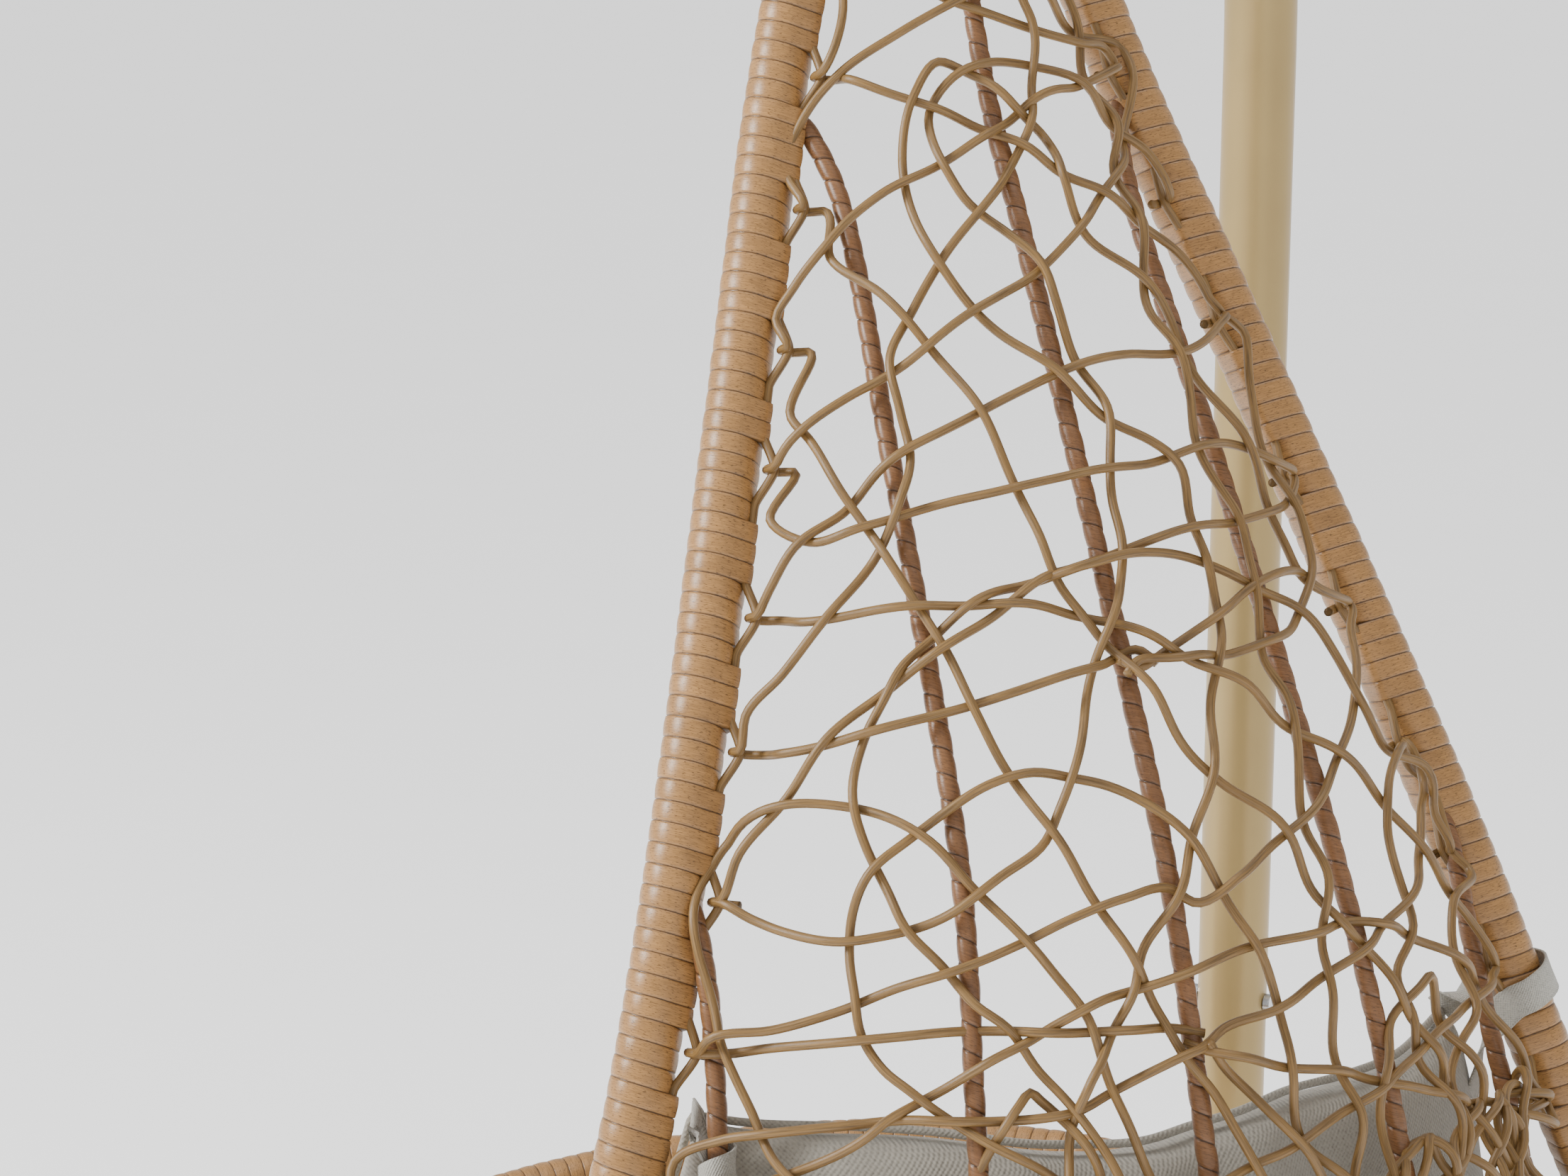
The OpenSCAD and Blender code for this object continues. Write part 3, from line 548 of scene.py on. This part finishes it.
# strand routes over the back as (u, v) of the woven surface; u of 1 or -1 is a turn round the edge cord
ROUTES = [
    [(1, 255), (.86, 268), (.76, 279), (1, 323), (.70, 324), (.37, 337), (.02, 353), (-.17, 371), (-.46, 394),
     (-.71, 423), (-1, 455)],
    [(-1, 240), (-.5, 262), (.13, 282), (.46, 300), (.72, 321), (.83, 337), (.90, 357), (.92, 375), (1, 398),
     (.755, 416), (.59, 433), (.44, 458), (.32, 484), (.25, 515), (.20, 541), (.155, 569), (.083, 587), (-.02, 619),
     (-.09, 645), (-.17, 663), (-.28, 685), (-.33, 707), (-.36, 725), (-.40, 741), (-.46, 757), (-.49, 775),
     (-.52, 791), (-.54, 805), (-.575, 823), (-.62, 841), (-.66, 868), (-.74, 900), (-1, 940)],
    [(-1, 331), (-.43, 333), (-.19, 337), (-.06, 345), (.21, 361), (.39, 372), (.58, 386), (.69, 398), (.77, 413),
     (.86, 432), (.91, 447), (1, 465), (.85, 491), (.80, 500), (.70, 528), (.62, 549), (.56, 567), (.51, 583),
     (.47, 597), (.42, 622), (.37, 645), (.32, 663), (.255, 685), (.21, 704), (.155, 727), (.11, 746), (.08, 763),
     (.045, 782), (-.015, 803), (-.05, 824), (-.08, 842), (-.14, 875), (-.22, 915)],
    [(-1, 600), (-.67, 577), (-.68, 565), (-.66, 536), (-.615, 509), (-.55, 483), (-.53, 460), (-.44, 434),
     (-.26, 405), (-.20, 381), (-.205, 352), (-.07, 340), (.07, 325), (.27, 315), (.41, 334), (.48, 362), (.46, 395),
     (.37, 422), (.205, 451), (.04, 470), (-.10, 490), (-.24, 506), (-.31, 519), (-.31, 545), (-.31, 569),
     (-.30, 587), (-.25, 610), (-.19, 634), (-.14, 660), (-.06, 685), (0, 708), (.1, 734), (.145, 755), (.2, 775),
     (.25, 794), (.275, 812), (.285, 833), (.30, 870), (.36, 910)],
    [(-1, 405), (-.77, 375), (-.62, 355), (-.47, 332), (-.20, 317), (0, 317), (.21, 324), (.34, 340), (.35, 356),
     (.27, 383), (.10, 402), (0, 419), (-.03, 438), (-.06, 463), (-.115, 488), (-.09, 510), (-.06, 531),
     (-.05, 553), (0, 574), (.09, 600), (.13, 616), (.19, 644), (.25, 667), (.29, 681), (.395, 697), (.50, 714),
     (.63, 725), (.68, 728), (.80, 726), (.86, 722), (1, 712)],
    [(-1, 255), (-.6, 262), (-.26, 280), (-.275, 296), (-.23, 325), (-.14, 348), (.055, 376), (.18, 390), (.36, 412),
     (.49, 438), (.57, 462), (.55, 486), (.53, 509), (.57, 533), (.67, 564), (.765, 591), (.83, 610), (.90, 630),
     (1, 643), (.82, 645), (.69, 637), (.56, 628), (.41, 619), (.24, 611), (.09, 605), (-.05, 599), (-.08, 606)],
    [(.03, 611), (0, 606), (-.15, 606), (-.38, 606), (-.55, 602), (-.64, 592), (-.71, 579), (-.73, 560), (-.74, 539),
     (-.76, 517), (-.80, 494), (-1, 460)],
    [(1, 255), (.2, 262), (-.36, 278), (-.60, 301), (-.92, 317), (-.82, 346), (-.65, 369), (-.40, 388), (-.16, 408),
     (.02, 423), (.19, 434), (.30, 442), (.51, 463), (.70, 481), (.84, 503), (1, 526), (.885, 540), (.77, 549),
     (.64, 541), (.535, 532), (.295, 524), (-.01, 517), (-.185, 516), (-.455, 512), (-.62, 516), (-.75, 530),
     (-1, 543)],
    [(-1, 466), (-.51, 468), (-.25, 465), (-.04, 468), (.21, 479), (.43, 495), (.62, 515), (.71, 534), (.815, 553),
     (.87, 573), (1, 583), (.79, 585), (.63, 579), (.39, 575), (.175, 578), (.02, 586), (-.09, 598), (-.19, 609),
     (-.30, 624), (-.40, 643), (-.51, 658), (-.61, 678), (-.68, 703), (-.75, 730), (-.85, 762), (-1, 790)],
    [(1, 718), (.885, 695), (.80, 662), (.72, 635), (.60, 612), (.45, 592), (.35, 580), (.19, 563), (0, 555),
     (-.22, 549), (-.48, 549), (-.78, 548), (-1, 545)],
    [(-1, 727), (-.86, 690), (-.74, 667), (-.69, 645), (-.66, 620), (-.58, 594), (-.42, 575), (-.27, 560),
     (-.10, 557), (.11, 562), (.335, 569), (.49, 587), (.57, 602), (.61, 617), (.66, 636), (.68, 660), (.66, 683),
     (.61, 707), (.58, 720), (.51, 737), (.45, 754), (.39, 765), (.33, 786), (.29, 798), (.22, 825), (.17, 860)],
    [(.70, 850), (.78, 830), (.825, 808), (.855, 793), (.88, 780), (.90, 764), (.935, 738), (.95, 710), (.93, 694),
     (.90, 682), (.855, 674), (.80, 669), (.735, 667), (.63, 670), (.53, 682), (.45, 702), (.375, 719), (.31, 736),
     (.24, 759), (.215, 778), (.19, 798), (.155, 821), (.13, 837), (.06, 880)],
    [(.2, 860), (.33, 832), (.43, 818), (.48, 810), (.52, 803), (.565, 794), (.61, 785), (.65, 770), (.665, 751),
     (.68, 733), (.68, 719), (.65, 699), (.575, 681), (.50, 668), (.40, 656), (.30, 651), (.20, 654), (.145, 657),
     (.04, 669), (-.04, 685), (-.09, 703), (-.13, 725), (-.165, 743), (-.19, 765), (-.19, 782), (-.185, 800),
     (-.185, 818), (-.2, 834), (-.255, 852), (-.36, 890)],
    [(1, 780), (.88, 777), (.80, 771), (.70, 760), (.60, 748), (.49, 739), (.355, 726), (.25, 716), (.135, 709),
     (.01, 707), (-.03, 714), (-.145, 706), (-.26, 695), (-.39, 684), (-.53, 667), (-.68, 648), (-.775, 630),
     (-1, 615)],
    [(1, 786), (.80, 779), (.67, 773), (.60, 770), (.47, 766), (.40, 766), (.28, 768), (.15, 769), (.04, 771),
     (-.02, 775)],
    [(-1, 205), (.23, 279), (-.01, 287), (-.27, 297), (-.57, 311), (-.79, 317), (-1, 328)],
    [(1, 205), (-.62, 276), (-.63, 304), (-.60, 328), (-.61, 357), (-.53, 378), (-.53, 402), (-.475, 426),
     (-.42, 449), (-.46, 468), (-.46, 488), (-.44, 509), (-.45, 534), (-.47, 550), (-.46, 571), (-.43, 595),
     (-.415, 613), (-.43, 631), (-.41, 649), (-.39, 670), (-.37, 692), (-.37, 712), (-.35, 734), (-.325, 755),
     (-.31, 782), (-.31, 808), (-.32, 827), (-.31, 848), (-.27, 885)],
    [(.04, 603), (-.02, 607), (-.11, 601), (-.245, 592), (-.495, 578), (-.595, 578), (-.675, 581), (-.74, 590),
     (-1, 608)],
    [(-1, 735), (-.93, 697), (-.89, 684), (-.82, 675), (-.74, 677), (-.66, 688), (-.62, 704), (-.625, 730),
     (-.60, 750), (-.54, 770), (-.52, 797), (-.53, 818), (-.57, 851), (-.55, 868), (-.50, 900)],
    [(-1, 680), (-.90, 700), (-.81, 709), (-.76, 719), (-.69, 728), (-.585, 740), (-.465, 748), (-.375, 755),
     (-.28, 762), (-.175, 769), (-.06, 774), (-.01, 780), (.06, 784), (.185, 797), (.25, 804), (.33, 807),
     (.41, 808), (.485, 808), (.565, 808), (.68, 813), (.79, 820), (.86, 826), (.93, 840), (1, 860)],
    [(1, 860), (.75, 838), (.63, 817), (.6, 809), (.55, 800), (.505, 793), (.41, 778), (.35, 771), (.29, 763),
     (.215, 755), (.11, 750), (.01, 745), (-.155, 738), (-.295, 738), (-.44, 738), (-.5, 743), (-.62, 757),
     (-.72, 776), (-.79, 795), (-.82, 815), (-.86, 840), (-1, 870)],
    [(-1, 727), (-.92, 744), (-.78, 752), (-.74, 778), (-.72, 803), (-.665, 814), (-.61, 831), (-.58, 860),
     (-.52, 900)],
    [(-1, 797), (-.72, 800), (-.6, 802), (-.48, 811), (-.4, 818), (-.33, 822), (-.22, 830), (-.155, 836),
     (-.08, 840), (0, 846), (.12, 858), (.3, 872)],
    [(.03, 778), (-.01, 783), (-.085, 789), (-.18, 797), (-.31, 805), (-.4, 815), (-.5, 826), (-.57, 835),
     (-.62, 843), (-.7, 850), (-.77, 862), (-.88, 880), (-1, 900)],
    [(-.01, 779), (-.045, 790), (-.085, 802), (-.14, 822), (-.185, 838), (-.22, 855), (-.3, 890)],
    [(-.36, 890), (-.385, 840), (-.405, 813), (-.46, 793), (-.53, 780), (-.585, 775), (-.61, 785), (-.62, 803),
     (-.655, 820), (-.68, 839), (-.67, 861), (-.62, 900)],
    [(.47, 870), (.445, 833), (.395, 809), (.37, 800), (.35, 795), (.33, 799), (.29, 809), (.235, 830), (.2, 870)],
]


def wandering(number, top, bottom, metres, stride):
    """Loose strands by rule: each drifts over the surface and turns round the edge cord at the sides."""
    made = []
    for n in range(number):
        v = top + (bottom - top) * ((n * 0.618) % 1)
        side = 1 if n % 2 else -1
        route = [(side, v)]
        heading = math.pi / 2 + side * (math.pi / 2 + rng.uniform(-0.5, 0.5))
        x, gone = side * 0.88, 0.0
        while gone < metres * 1000:
            width = float(curve(HOOP, hoop_index(np.array(v)))[0])
            step = stride * rng.uniform(0.8, 1.2)
            heading += rng.normal(0, 0.28)
            x += math.cos(heading) * step / width
            v += math.sin(heading) * step
            gone += step
            if v < top or v > bottom:
                v = min(max(v, top), bottom)
                heading = -heading
            if abs(x) > 0.9:
                side = 1 if x > 0 else -1
                route.append((side, v))
                x = side * 0.86
                heading = math.pi - heading + rng.uniform(-0.35, 0.35)
            route.append((x, v))
        route.append((1 if x > 0 else -1, v))
        made.append(route)
    return made


TOP_STRANDS, SIDE_STRANDS, LOW_STRANDS = 5, 12, 24
routes = (ROUTES + wandering(TOP_STRANDS, 120, 268, 0.55, 30)
          + wandering(LOW_STRANDS, 850, 1770, 2.6, 55))
# loose ends of the read routes run on to the edge cord
for route in ROUTES:
    u, v = route[-1]
    if abs(u) < 1 and v > 830:
        lean = (route[-1][0] - route[-2][0]) * 2.4
        route += [(max(-0.85, min(0.85, u + lean)), v + 55), (max(-0.85, min(0.85, u + 2.2 * lean)), v + 120),
                  (1 if u + 2.2 * lean > 0 else -1, v + 180)]


def width_at(v):
    return curve(HOOP, hoop_index(np.asarray(v, float)))[..., 0]


def strand_points(route):
    """Dense points with their flattened place: columns x, y, z, across, v."""
    made = []
    for i, (u, v) in enumerate(route):
        if abs(u) < 1:
            p = nest(u, v) + nest_out(u, v) * STRAND_OUT * (1 - abs(u) ** 6)
            made.append([*p, u * width_at(v), v])
            continue
        s = gaps[np.abs(gaps - hoop_s(u, v)).argmin()]
        p, tan, nor = cord_at(np.array(s))
        out = np.cross(tan, nor)
        out = out * np.sign(((p - MIDDLE) * out).sum())
        flat = [u * width_at(v), v]
        if i == 0:
            legs = [out * -4.2 + nor * 9, out * -4.6 - nor * 1, -nor * 5.0, out * 4.6 + nor * 1]
        else:
            legs = [out * 4.6 + nor * 1, -nor * 5.0, out * -4.6 - nor * 1, out * -4.2 + nor * 9]
        made += [[*(p + leg), *flat] for leg in legs]
    made = np.array(made, float)
    d = np.maximum(np.linalg.norm(np.diff(made[:, :3], axis=0), axis=1), 1.0)
    slope = np.diff(made, axis=0) / d[:, None]
    inner = (slope[1:] * d[:-1, None] + slope[:-1] * d[1:, None]) / (d[1:] + d[:-1])[:, None]
    m = np.vstack([slope[:1], inner, slope[-1:]])
    dense = []
    for i in range(len(made) - 1):
        t = np.linspace(0, 1, max(2, int(d[i] / 4.0)), endpoint=False)[:, None]
        dense.append((2 * t**3 - 3 * t**2 + 1) * made[i] + (t**3 - 2 * t**2 + t) * d[i] * m[i]
                     + (3 * t**2 - 2 * t**3) * made[i + 1] + (t**3 - t**2) * d[i] * m[i + 1])
    return np.vstack(dense + [made[-1:]])


dense = [strand_points(r) for r in routes]
lengths = [np.concatenate([[0], np.cumsum(np.linalg.norm(np.diff(p[:, :3], axis=0), axis=1))]) for p in dense]


def crossings():
    """(strand, length, strand, length) wherever two strands cross on the flattened surface."""
    a, b, who, at = [], [], [], []
    for i, p in enumerate(dense):
        keep = np.arange(0, len(p), 2)
        a.append(p[keep[:-1], 3:])
        b.append(p[keep[1:], 3:])
        who += [i] * (len(keep) - 1)
        at.append(np.stack([lengths[i][keep[:-1]], lengths[i][keep[1:]]], -1))
    a, b, who, at = np.vstack(a), np.vstack(b), np.array(who), np.vstack(at)
    found = []
    order = np.argsort(a[:, 1])
    a, b, who, at = a[order], b[order], who[order], at[order]
    for i in range(len(a)):
        j = np.arange(i + 1, np.searchsorted(a[:, 1], a[i, 1] + 22))
        j = j[np.abs(a[j, 0] - a[i, 0]) < 22]
        if not len(j):
            continue
        r, q = b[i] - a[i], b[j] - a[j]
        den = r[0] * q[:, 1] - r[1] * q[:, 0]
        den = np.where(np.abs(den) < 1e-9, 1e-9, den)
        w = a[j] - a[i]
        t, f = (w[:, 0] * q[:, 1] - w[:, 1] * q[:, 0]) / den, (w[:, 0] * r[1] - w[:, 1] * r[0]) / den
        for m in np.flatnonzero((t >= 0) & (t < 1) & (f >= 0) & (f < 1)):
            k = j[m]
            sa, sb = at[i, 0] + t[m] * np.ptp(at[i]), at[k, 0] + f[m] * np.ptp(at[k])
            if who[i] != who[k] or abs(sa - sb) > 40:
                found.append((int(who[i]), float(sa), int(who[k]), float(sb)))
    return sorted(found)


SIGMA, APART = 19.0, 5.2
cuts = crossings()
along = [[] for _ in dense]
for n, (i, si, j, sj) in enumerate(cuts):
    along[i].append((si, n, 0))
    along[j].append((sj, n, 1))
over = {}
for rows in along:
    sign = 1
    for _, n, end in sorted(rows):
        if n not in over:
            over[n] = sign if end == 0 else -sign
        sign = -(over[n] if end == 0 else -over[n])
push = [np.zeros(len(rows)) for rows in along]
place = [np.array([s for s, _, _ in rows]) for rows in along]
slot_of = {(n, end): k for rows in along for k, (_, n, end) in enumerate(rows)}


def lift(i, s):
    if not len(place[i]):
        return np.zeros(np.shape(s))
    d = np.asarray(s, float)[..., None] - place[i]
    return (np.exp(-(d**2) / (2 * SIGMA**2)) * push[i]).sum(-1)


for _ in range(14):
    for n, (i, si, j, sj) in enumerate(cuts):
        short = APART - over[n] * (lift(i, si) - lift(j, sj))
        if short > 0:
            push[i][slot_of[n, 0]] += over[n] * short * 0.45
            push[j][slot_of[n, 1]] -= over[n] * short * 0.45

strands = []
for i, p in enumerate(dense):
    u = np.clip(p[:, 3] / np.maximum(width_at(p[:, 4]), 1), -0.97, 0.97)
    fade = np.clip((1 - np.abs(p[:, 3] / np.maximum(width_at(p[:, 4]), 1))) / 0.08, 0, 1)
    moved = p[:, :3] + nest_out(u, p[:, 4]) * (np.clip(lift(i, lengths[i]), -7, 9) * fade)[:, None]
    strands.append(tube(moved, STRAND_R, 10))
n = len(ROUTES)
side_from, seat_from = n + TOP_STRANDS, n + TOP_STRANDS + SIDE_STRANDS
joined("strands_back", strands[:n], "basket", "strand",
       ["weave_back_left", "weave_back_right", "weave_shoulder_left", "weave_shoulder_right"])
joined("strands_top", strands[n:side_from], "basket", "strand")
joined("strands_side", strands[side_from:seat_from], "basket", "strand", ["weave_side_left", "weave_side_right"])
joined("strands_seat", strands[seat_from:], "basket", "strand", ["weave_flank_left", "weave_flank_right"])


# ---- cushions ----
def back_at(u, v):
    return np.stack([(222 + 78 * v) * u, 300 + 20 * v - (105 + 60 * v) * u**2, -(835 + 310 * v)], -1)


def pillow(name, centre, out, half_t, nu, nv, node):
    """A closed quilted form from a middle surface and a half thickness on a grid; gives back the form and the middle
    surface's points round its edge.
    """
    front, back = centre + out * half_t[..., None], centre - out * half_t[..., None]
    number = np.arange(nu * nv).reshape(nu, nv)
    faces = []
    for i in range(nu - 1):
        for j in range(nv - 1):
            q = [number[i, j], number[i + 1, j], number[i + 1, j + 1], number[i, j + 1]]
            faces += [q, [x + nu * nv for x in reversed(q)]]
    ring = [number[i, 0] for i in range(nu)] + [number[-1, j] for j in range(1, nv)]
    ring += [number[i, -1] for i in range(nu - 2, -1, -1)] + [number[0, j] for j in range(nv - 2, 0, -1)]
    for a, b in zip(ring, ring[1:] + ring[:1]):
        faces.append([b, a, a + nu * nv, b + nu * nv])
    verts = placed(np.vstack([front.reshape(-1, 3), back.reshape(-1, 3)]))
    o = make(name, verts, faces, "basket", "canvas", None, [node])
    return o, centre.reshape(-1, 3)[ring]


def settle(o, cap):
    """Swells the form with a cloth simulation, keeps each point within cap metres of its start."""
    bpy.context.view_layer.objects.active = o
    start = np.empty(len(o.data.vertices) * 3)
    o.data.vertices.foreach_get("co", start)
    cloth = o.modifiers.new("swell", "CLOTH")
    cloth.settings.use_pressure = True
    cloth.settings.uniform_pressure_force = 4
    cloth.settings.effector_weights.gravity = 0
    cloth.settings.quality = 5
    cloth.point_cache.frame_end = 20
    for f in range(1, 21):
        bpy.context.scene.frame_set(f)
    e = o.evaluated_get(bpy.context.evaluated_depsgraph_get())
    end = np.empty(len(e.data.vertices) * 3)
    e.data.vertices.foreach_get("co", end)
    o.modifiers.remove(cloth)
    bpy.context.scene.frame_set(1)
    start, end = start.reshape(-1, 3), end.reshape(-1, 3)
    move = end - start
    far = np.linalg.norm(move, axis=1, keepdims=True)
    o.data.vertices.foreach_set("co", (start + move * np.minimum(1, cap / np.maximum(far, 1e-9))).ravel())
    o.data.update()


def soften(o):
    """One subdivision."""
    smooth = o.modifiers.new("smooth", "SUBSURF")
    smooth.levels = smooth.render_levels = 1


nu, nv = 71, 41
U, V = np.meshgrid(np.linspace(-1, 1, nu), np.linspace(0, 1, nv), indexing="ij")
out = unit(np.stack([U, 1.4 + 0 * U, 0 * U], -1))
BACK_HALF = 32
thick = BACK_HALF * np.sqrt(np.clip(1 - 0.85 * U**6, 0.02, 1))
thick = thick * np.sqrt(np.clip(1 - 0.85 * np.abs(2 * V - 1) ** 6, 0.02, 1))
creases = (np.sin(9 * U + 5 * np.sin(3.1 * U) + 2 * V) * 2.2 + np.sin(23 * U + 3 * V) * 0.9) * (1 - V) ** 1.5
thick = np.maximum(thick * (1 - 0.16 * np.abs(U) ** 3), 4) + creases * 0.5
wave = 3.0 * np.sin(7 * U + 1.3) * np.sin(4 * V) + creases
cushion, back_ring = pillow("back_pillow", back_at(U, V) + out * (wave * 0.5)[..., None] + np.stack(
    [0 * U, 0 * U, -5 * (1 - V) * np.sin(6.3 * U + 0.7) * (1 - U**4)], -1), out, thick, nu, nv, "back_cushion")
settle(cushion, 0.006)
soften(cushion)

nu, nv = 61, 61
A, B = np.meshgrid(np.linspace(-1, 1, nu), np.linspace(-1, 1, nv), indexing="ij")
X = A * np.sqrt(1 - B**2 / 2)
Y = B * np.sqrt(1 - A**2 / 2)
W = np.clip(np.maximum(np.abs(A), np.abs(B)), 0, 1)
SEAT_HALF = 41
base = np.stack([240 * X, -60 + 235 * Y, -1200 + 0 * X - 10 * (1 - W**2)], -1)
seat, seat_ring = pillow("seat_pillow", base, np.stack([0 * X, 0 * X, 0 * X + 1.0], -1),
                         SEAT_HALF * np.sqrt(np.clip(1 - 0.85 * W**5, 0.02, 1))
                         + 1.5 * np.sin(6 * X) * np.cos(5 * Y) * (1 - W), nu, nv, "seat_cushion")
settle(seat, 0.006)
soften(seat)


def welt(name, ring):
    """Piped seam round a cushion's edge."""
    p = np.vstack([ring, ring[:1]])
    s = np.concatenate([[0], np.cumsum(np.linalg.norm(np.diff(p, axis=0), axis=1))])
    at = np.arange(0, s[-1], 5.0)
    p = np.stack([np.interp(at, s, p[:, k]) for k in range(3)], -1)
    p = np.vstack([p, p[:1]])
    return joined(name, [tube(p, 2.3, 8)], "basket", "canvas")


welt("back_welt", back_ring)
welt("seat_welt", seat_ring)


# ---- ties ----
def ribbon(name, points, width, thickness, side):
    """A stitched tape along points, its flat side turned towards side at each point, and its path."""
    p = np.asarray(points, float)
    d = np.concatenate([[0], np.cumsum(np.linalg.norm(np.diff(p, axis=0), axis=1))])
    t = np.linspace(0, len(p) - 1, int(d[-1] / 4))
    line, face = curve(p, t), curve(np.asarray(side, float), t)
    tan = unit(np.gradient(line, axis=0))
    face = unit(face - tan * (face * tan).sum(-1, keepdims=True))
    wide = np.cross(tan, face)
    section = [(-.5, 0), (-.47, .55), (-.41, .35), (-.38, .5), (0, .42), (.38, .5), (.41, .35), (.47, .55), (.5, 0),
               (.47, -.55), (.41, -.35), (.38, -.5), (0, -.42), (-.38, -.5), (-.41, -.35), (-.47, -.55)]
    k, n = len(section), len(line)
    verts = np.stack([line + wide * a * width + face * b * thickness for a, b in section], 1).reshape(-1, 3)
    faces, uvs = [], []
    s = np.concatenate([[0], np.cumsum(np.linalg.norm(np.diff(line, axis=0), axis=1))]) / 1000
    for i in range(n - 1):
        for j in range(k):
            m = (j + 1) % k
            faces.append([i * k + j, i * k + m, (i + 1) * k + m, (i + 1) * k + j])
            w0, w1 = section[j][0] * width / 1000, section[m][0] * width / 1000
            uvs += [(s[i], w0), (s[i], w1), (s[i + 1], w1), (s[i + 1], w0)]
    faces += [list(range(k))[::-1], [(n - 1) * k + j for j in range(k)]]
    uvs += [(0, 0)] * (2 * k)
    o = make(name, placed(verts), faces, "basket", "tie_tape", uvs, [name.replace("_tape", "")])
    return o, placed(line), s[-1]


def tie(name, hub, tan, radius, corner, drop):
    """From the cushion's corner round the tube at hub, crossed over itself, with a tail that hangs."""
    a = unit(corner - hub)
    a = unit(a - tan * (a @ tan))
    b = np.cross(tan, a)
    points, side = [corner], [b]
    for k, turn in enumerate(np.linspace(-35, 290, 9)):
        g = math.radians(turn)
        ray = math.cos(g) * a + math.sin(g) * b
        points.append(hub + ray * (radius + 2.5 + 0.25 * k) + tan * (k - 4) * 2.4)
        side.append(ray)
    end = points[-1]
    for k in range(1, 5):
        points.append(end + a * (10 + 3 * k) - np.array([0, 0, drop]) * k / 4 + b * 4 * math.sin(k))
        side.append(unit(a + b * 0.4 * k / 4))
    made, path, length = ribbon(name + "_tape", points, 19, 1.6, side)
    return length


outer = rise(OUTER_RIB)


def spot(points, t, closed=False):
    p = curve(points, np.array([t - 0.02, t, t + 0.02]), closed)
    return p[1], unit(p[2] - p[0])


mirrored = mirror(HOOP)
for name, points, t, radius, corner, drop in (
        ("tie_left_upper", outer, 2.4, RIB_R, (1.0, 0.0), 70),
        ("tie_right_upper", mirrored, 5.75, TUBE_R + 1, (-1.0, 0.0), 60),
        ("tie_left_lower", HOOP, 8.3, TUBE_R + 1, (1.0, 1.0), 60),
        ("tie_right_lower", mirrored, 8.3, TUBE_R + 1, (-1.0, 1.0), 60)):
    hub, tan = spot(points, t)
    tie(name, hub, tan, radius, back_at(np.array(corner[0]), np.array(corner[1])), drop)

# ---- floor, light, camera ----
floor = bpy.data.meshes.new("floor")
floor.from_pydata([(-40, -40, 0), (40, -40, 0), (40, 60, 0), (-40, 60, 0)], [], [(0, 1, 2, 3)])
ground = bpy.data.objects.new("floor", floor)
bpy.context.scene.collection.objects.link(ground)
pale = Paint("floor_pale", 0.9, Emission_Color=(1, 1, 1, 1), Emission_Strength=0.9)
v = pale.add("TexCoord").outputs["Object"]
pale.colour(pale.ramp(pale.noise(v, 3.0), [(0.3, (0.9, 0.9, 0.9)), (0.7, (0.93, 0.93, 0.93))]))
floor.materials.append(pale.m)

world = bpy.data.worlds.new("studio")
bpy.context.scene.world = world
world.use_nodes = True
socket(world.node_tree.nodes["Background"], "Color", (1, 1, 1, 1))
socket(world.node_tree.nodes["Background"], "Strength", 0.62)


def lamp(name, place, target, size, power):
    data = bpy.data.lights.new(name, "AREA")
    data.shape, data.size, data.energy = "SQUARE", size, power
    o = bpy.data.objects.new(name, data)
    bpy.context.scene.collection.objects.link(o)
    o.location = place
    d = np.array(target, float) - place
    o.rotation_euler = (math.atan2(math.hypot(d[0], d[1]), -d[2]), 0, math.atan2(d[1], d[0]) - math.pi / 2)


lamp("key", (-2.9, -2.0, 3.1), (0, 0, 1.0), 1.2, 190)
lamp("fill", (2.8, -2.8, 2.2), (0, 0, 1.0), 2.5, 8)
lamp("top", (0.2, 0.4, 4.2), (0, 0, 1.0), 2.5, 30)

eye = bpy.data.cameras.new("camera")
eye.lens, eye.sensor_width, eye.clip_end = 89.3, 36, 200
camera = bpy.data.objects.new("camera", eye)
camera.location = (0.8004, -2.0059, 1.6385)
camera.rotation_euler = (math.radians(76), 0, math.radians(24.15))
bpy.context.scene.collection.objects.link(camera)
bpy.context.scene.camera = camera
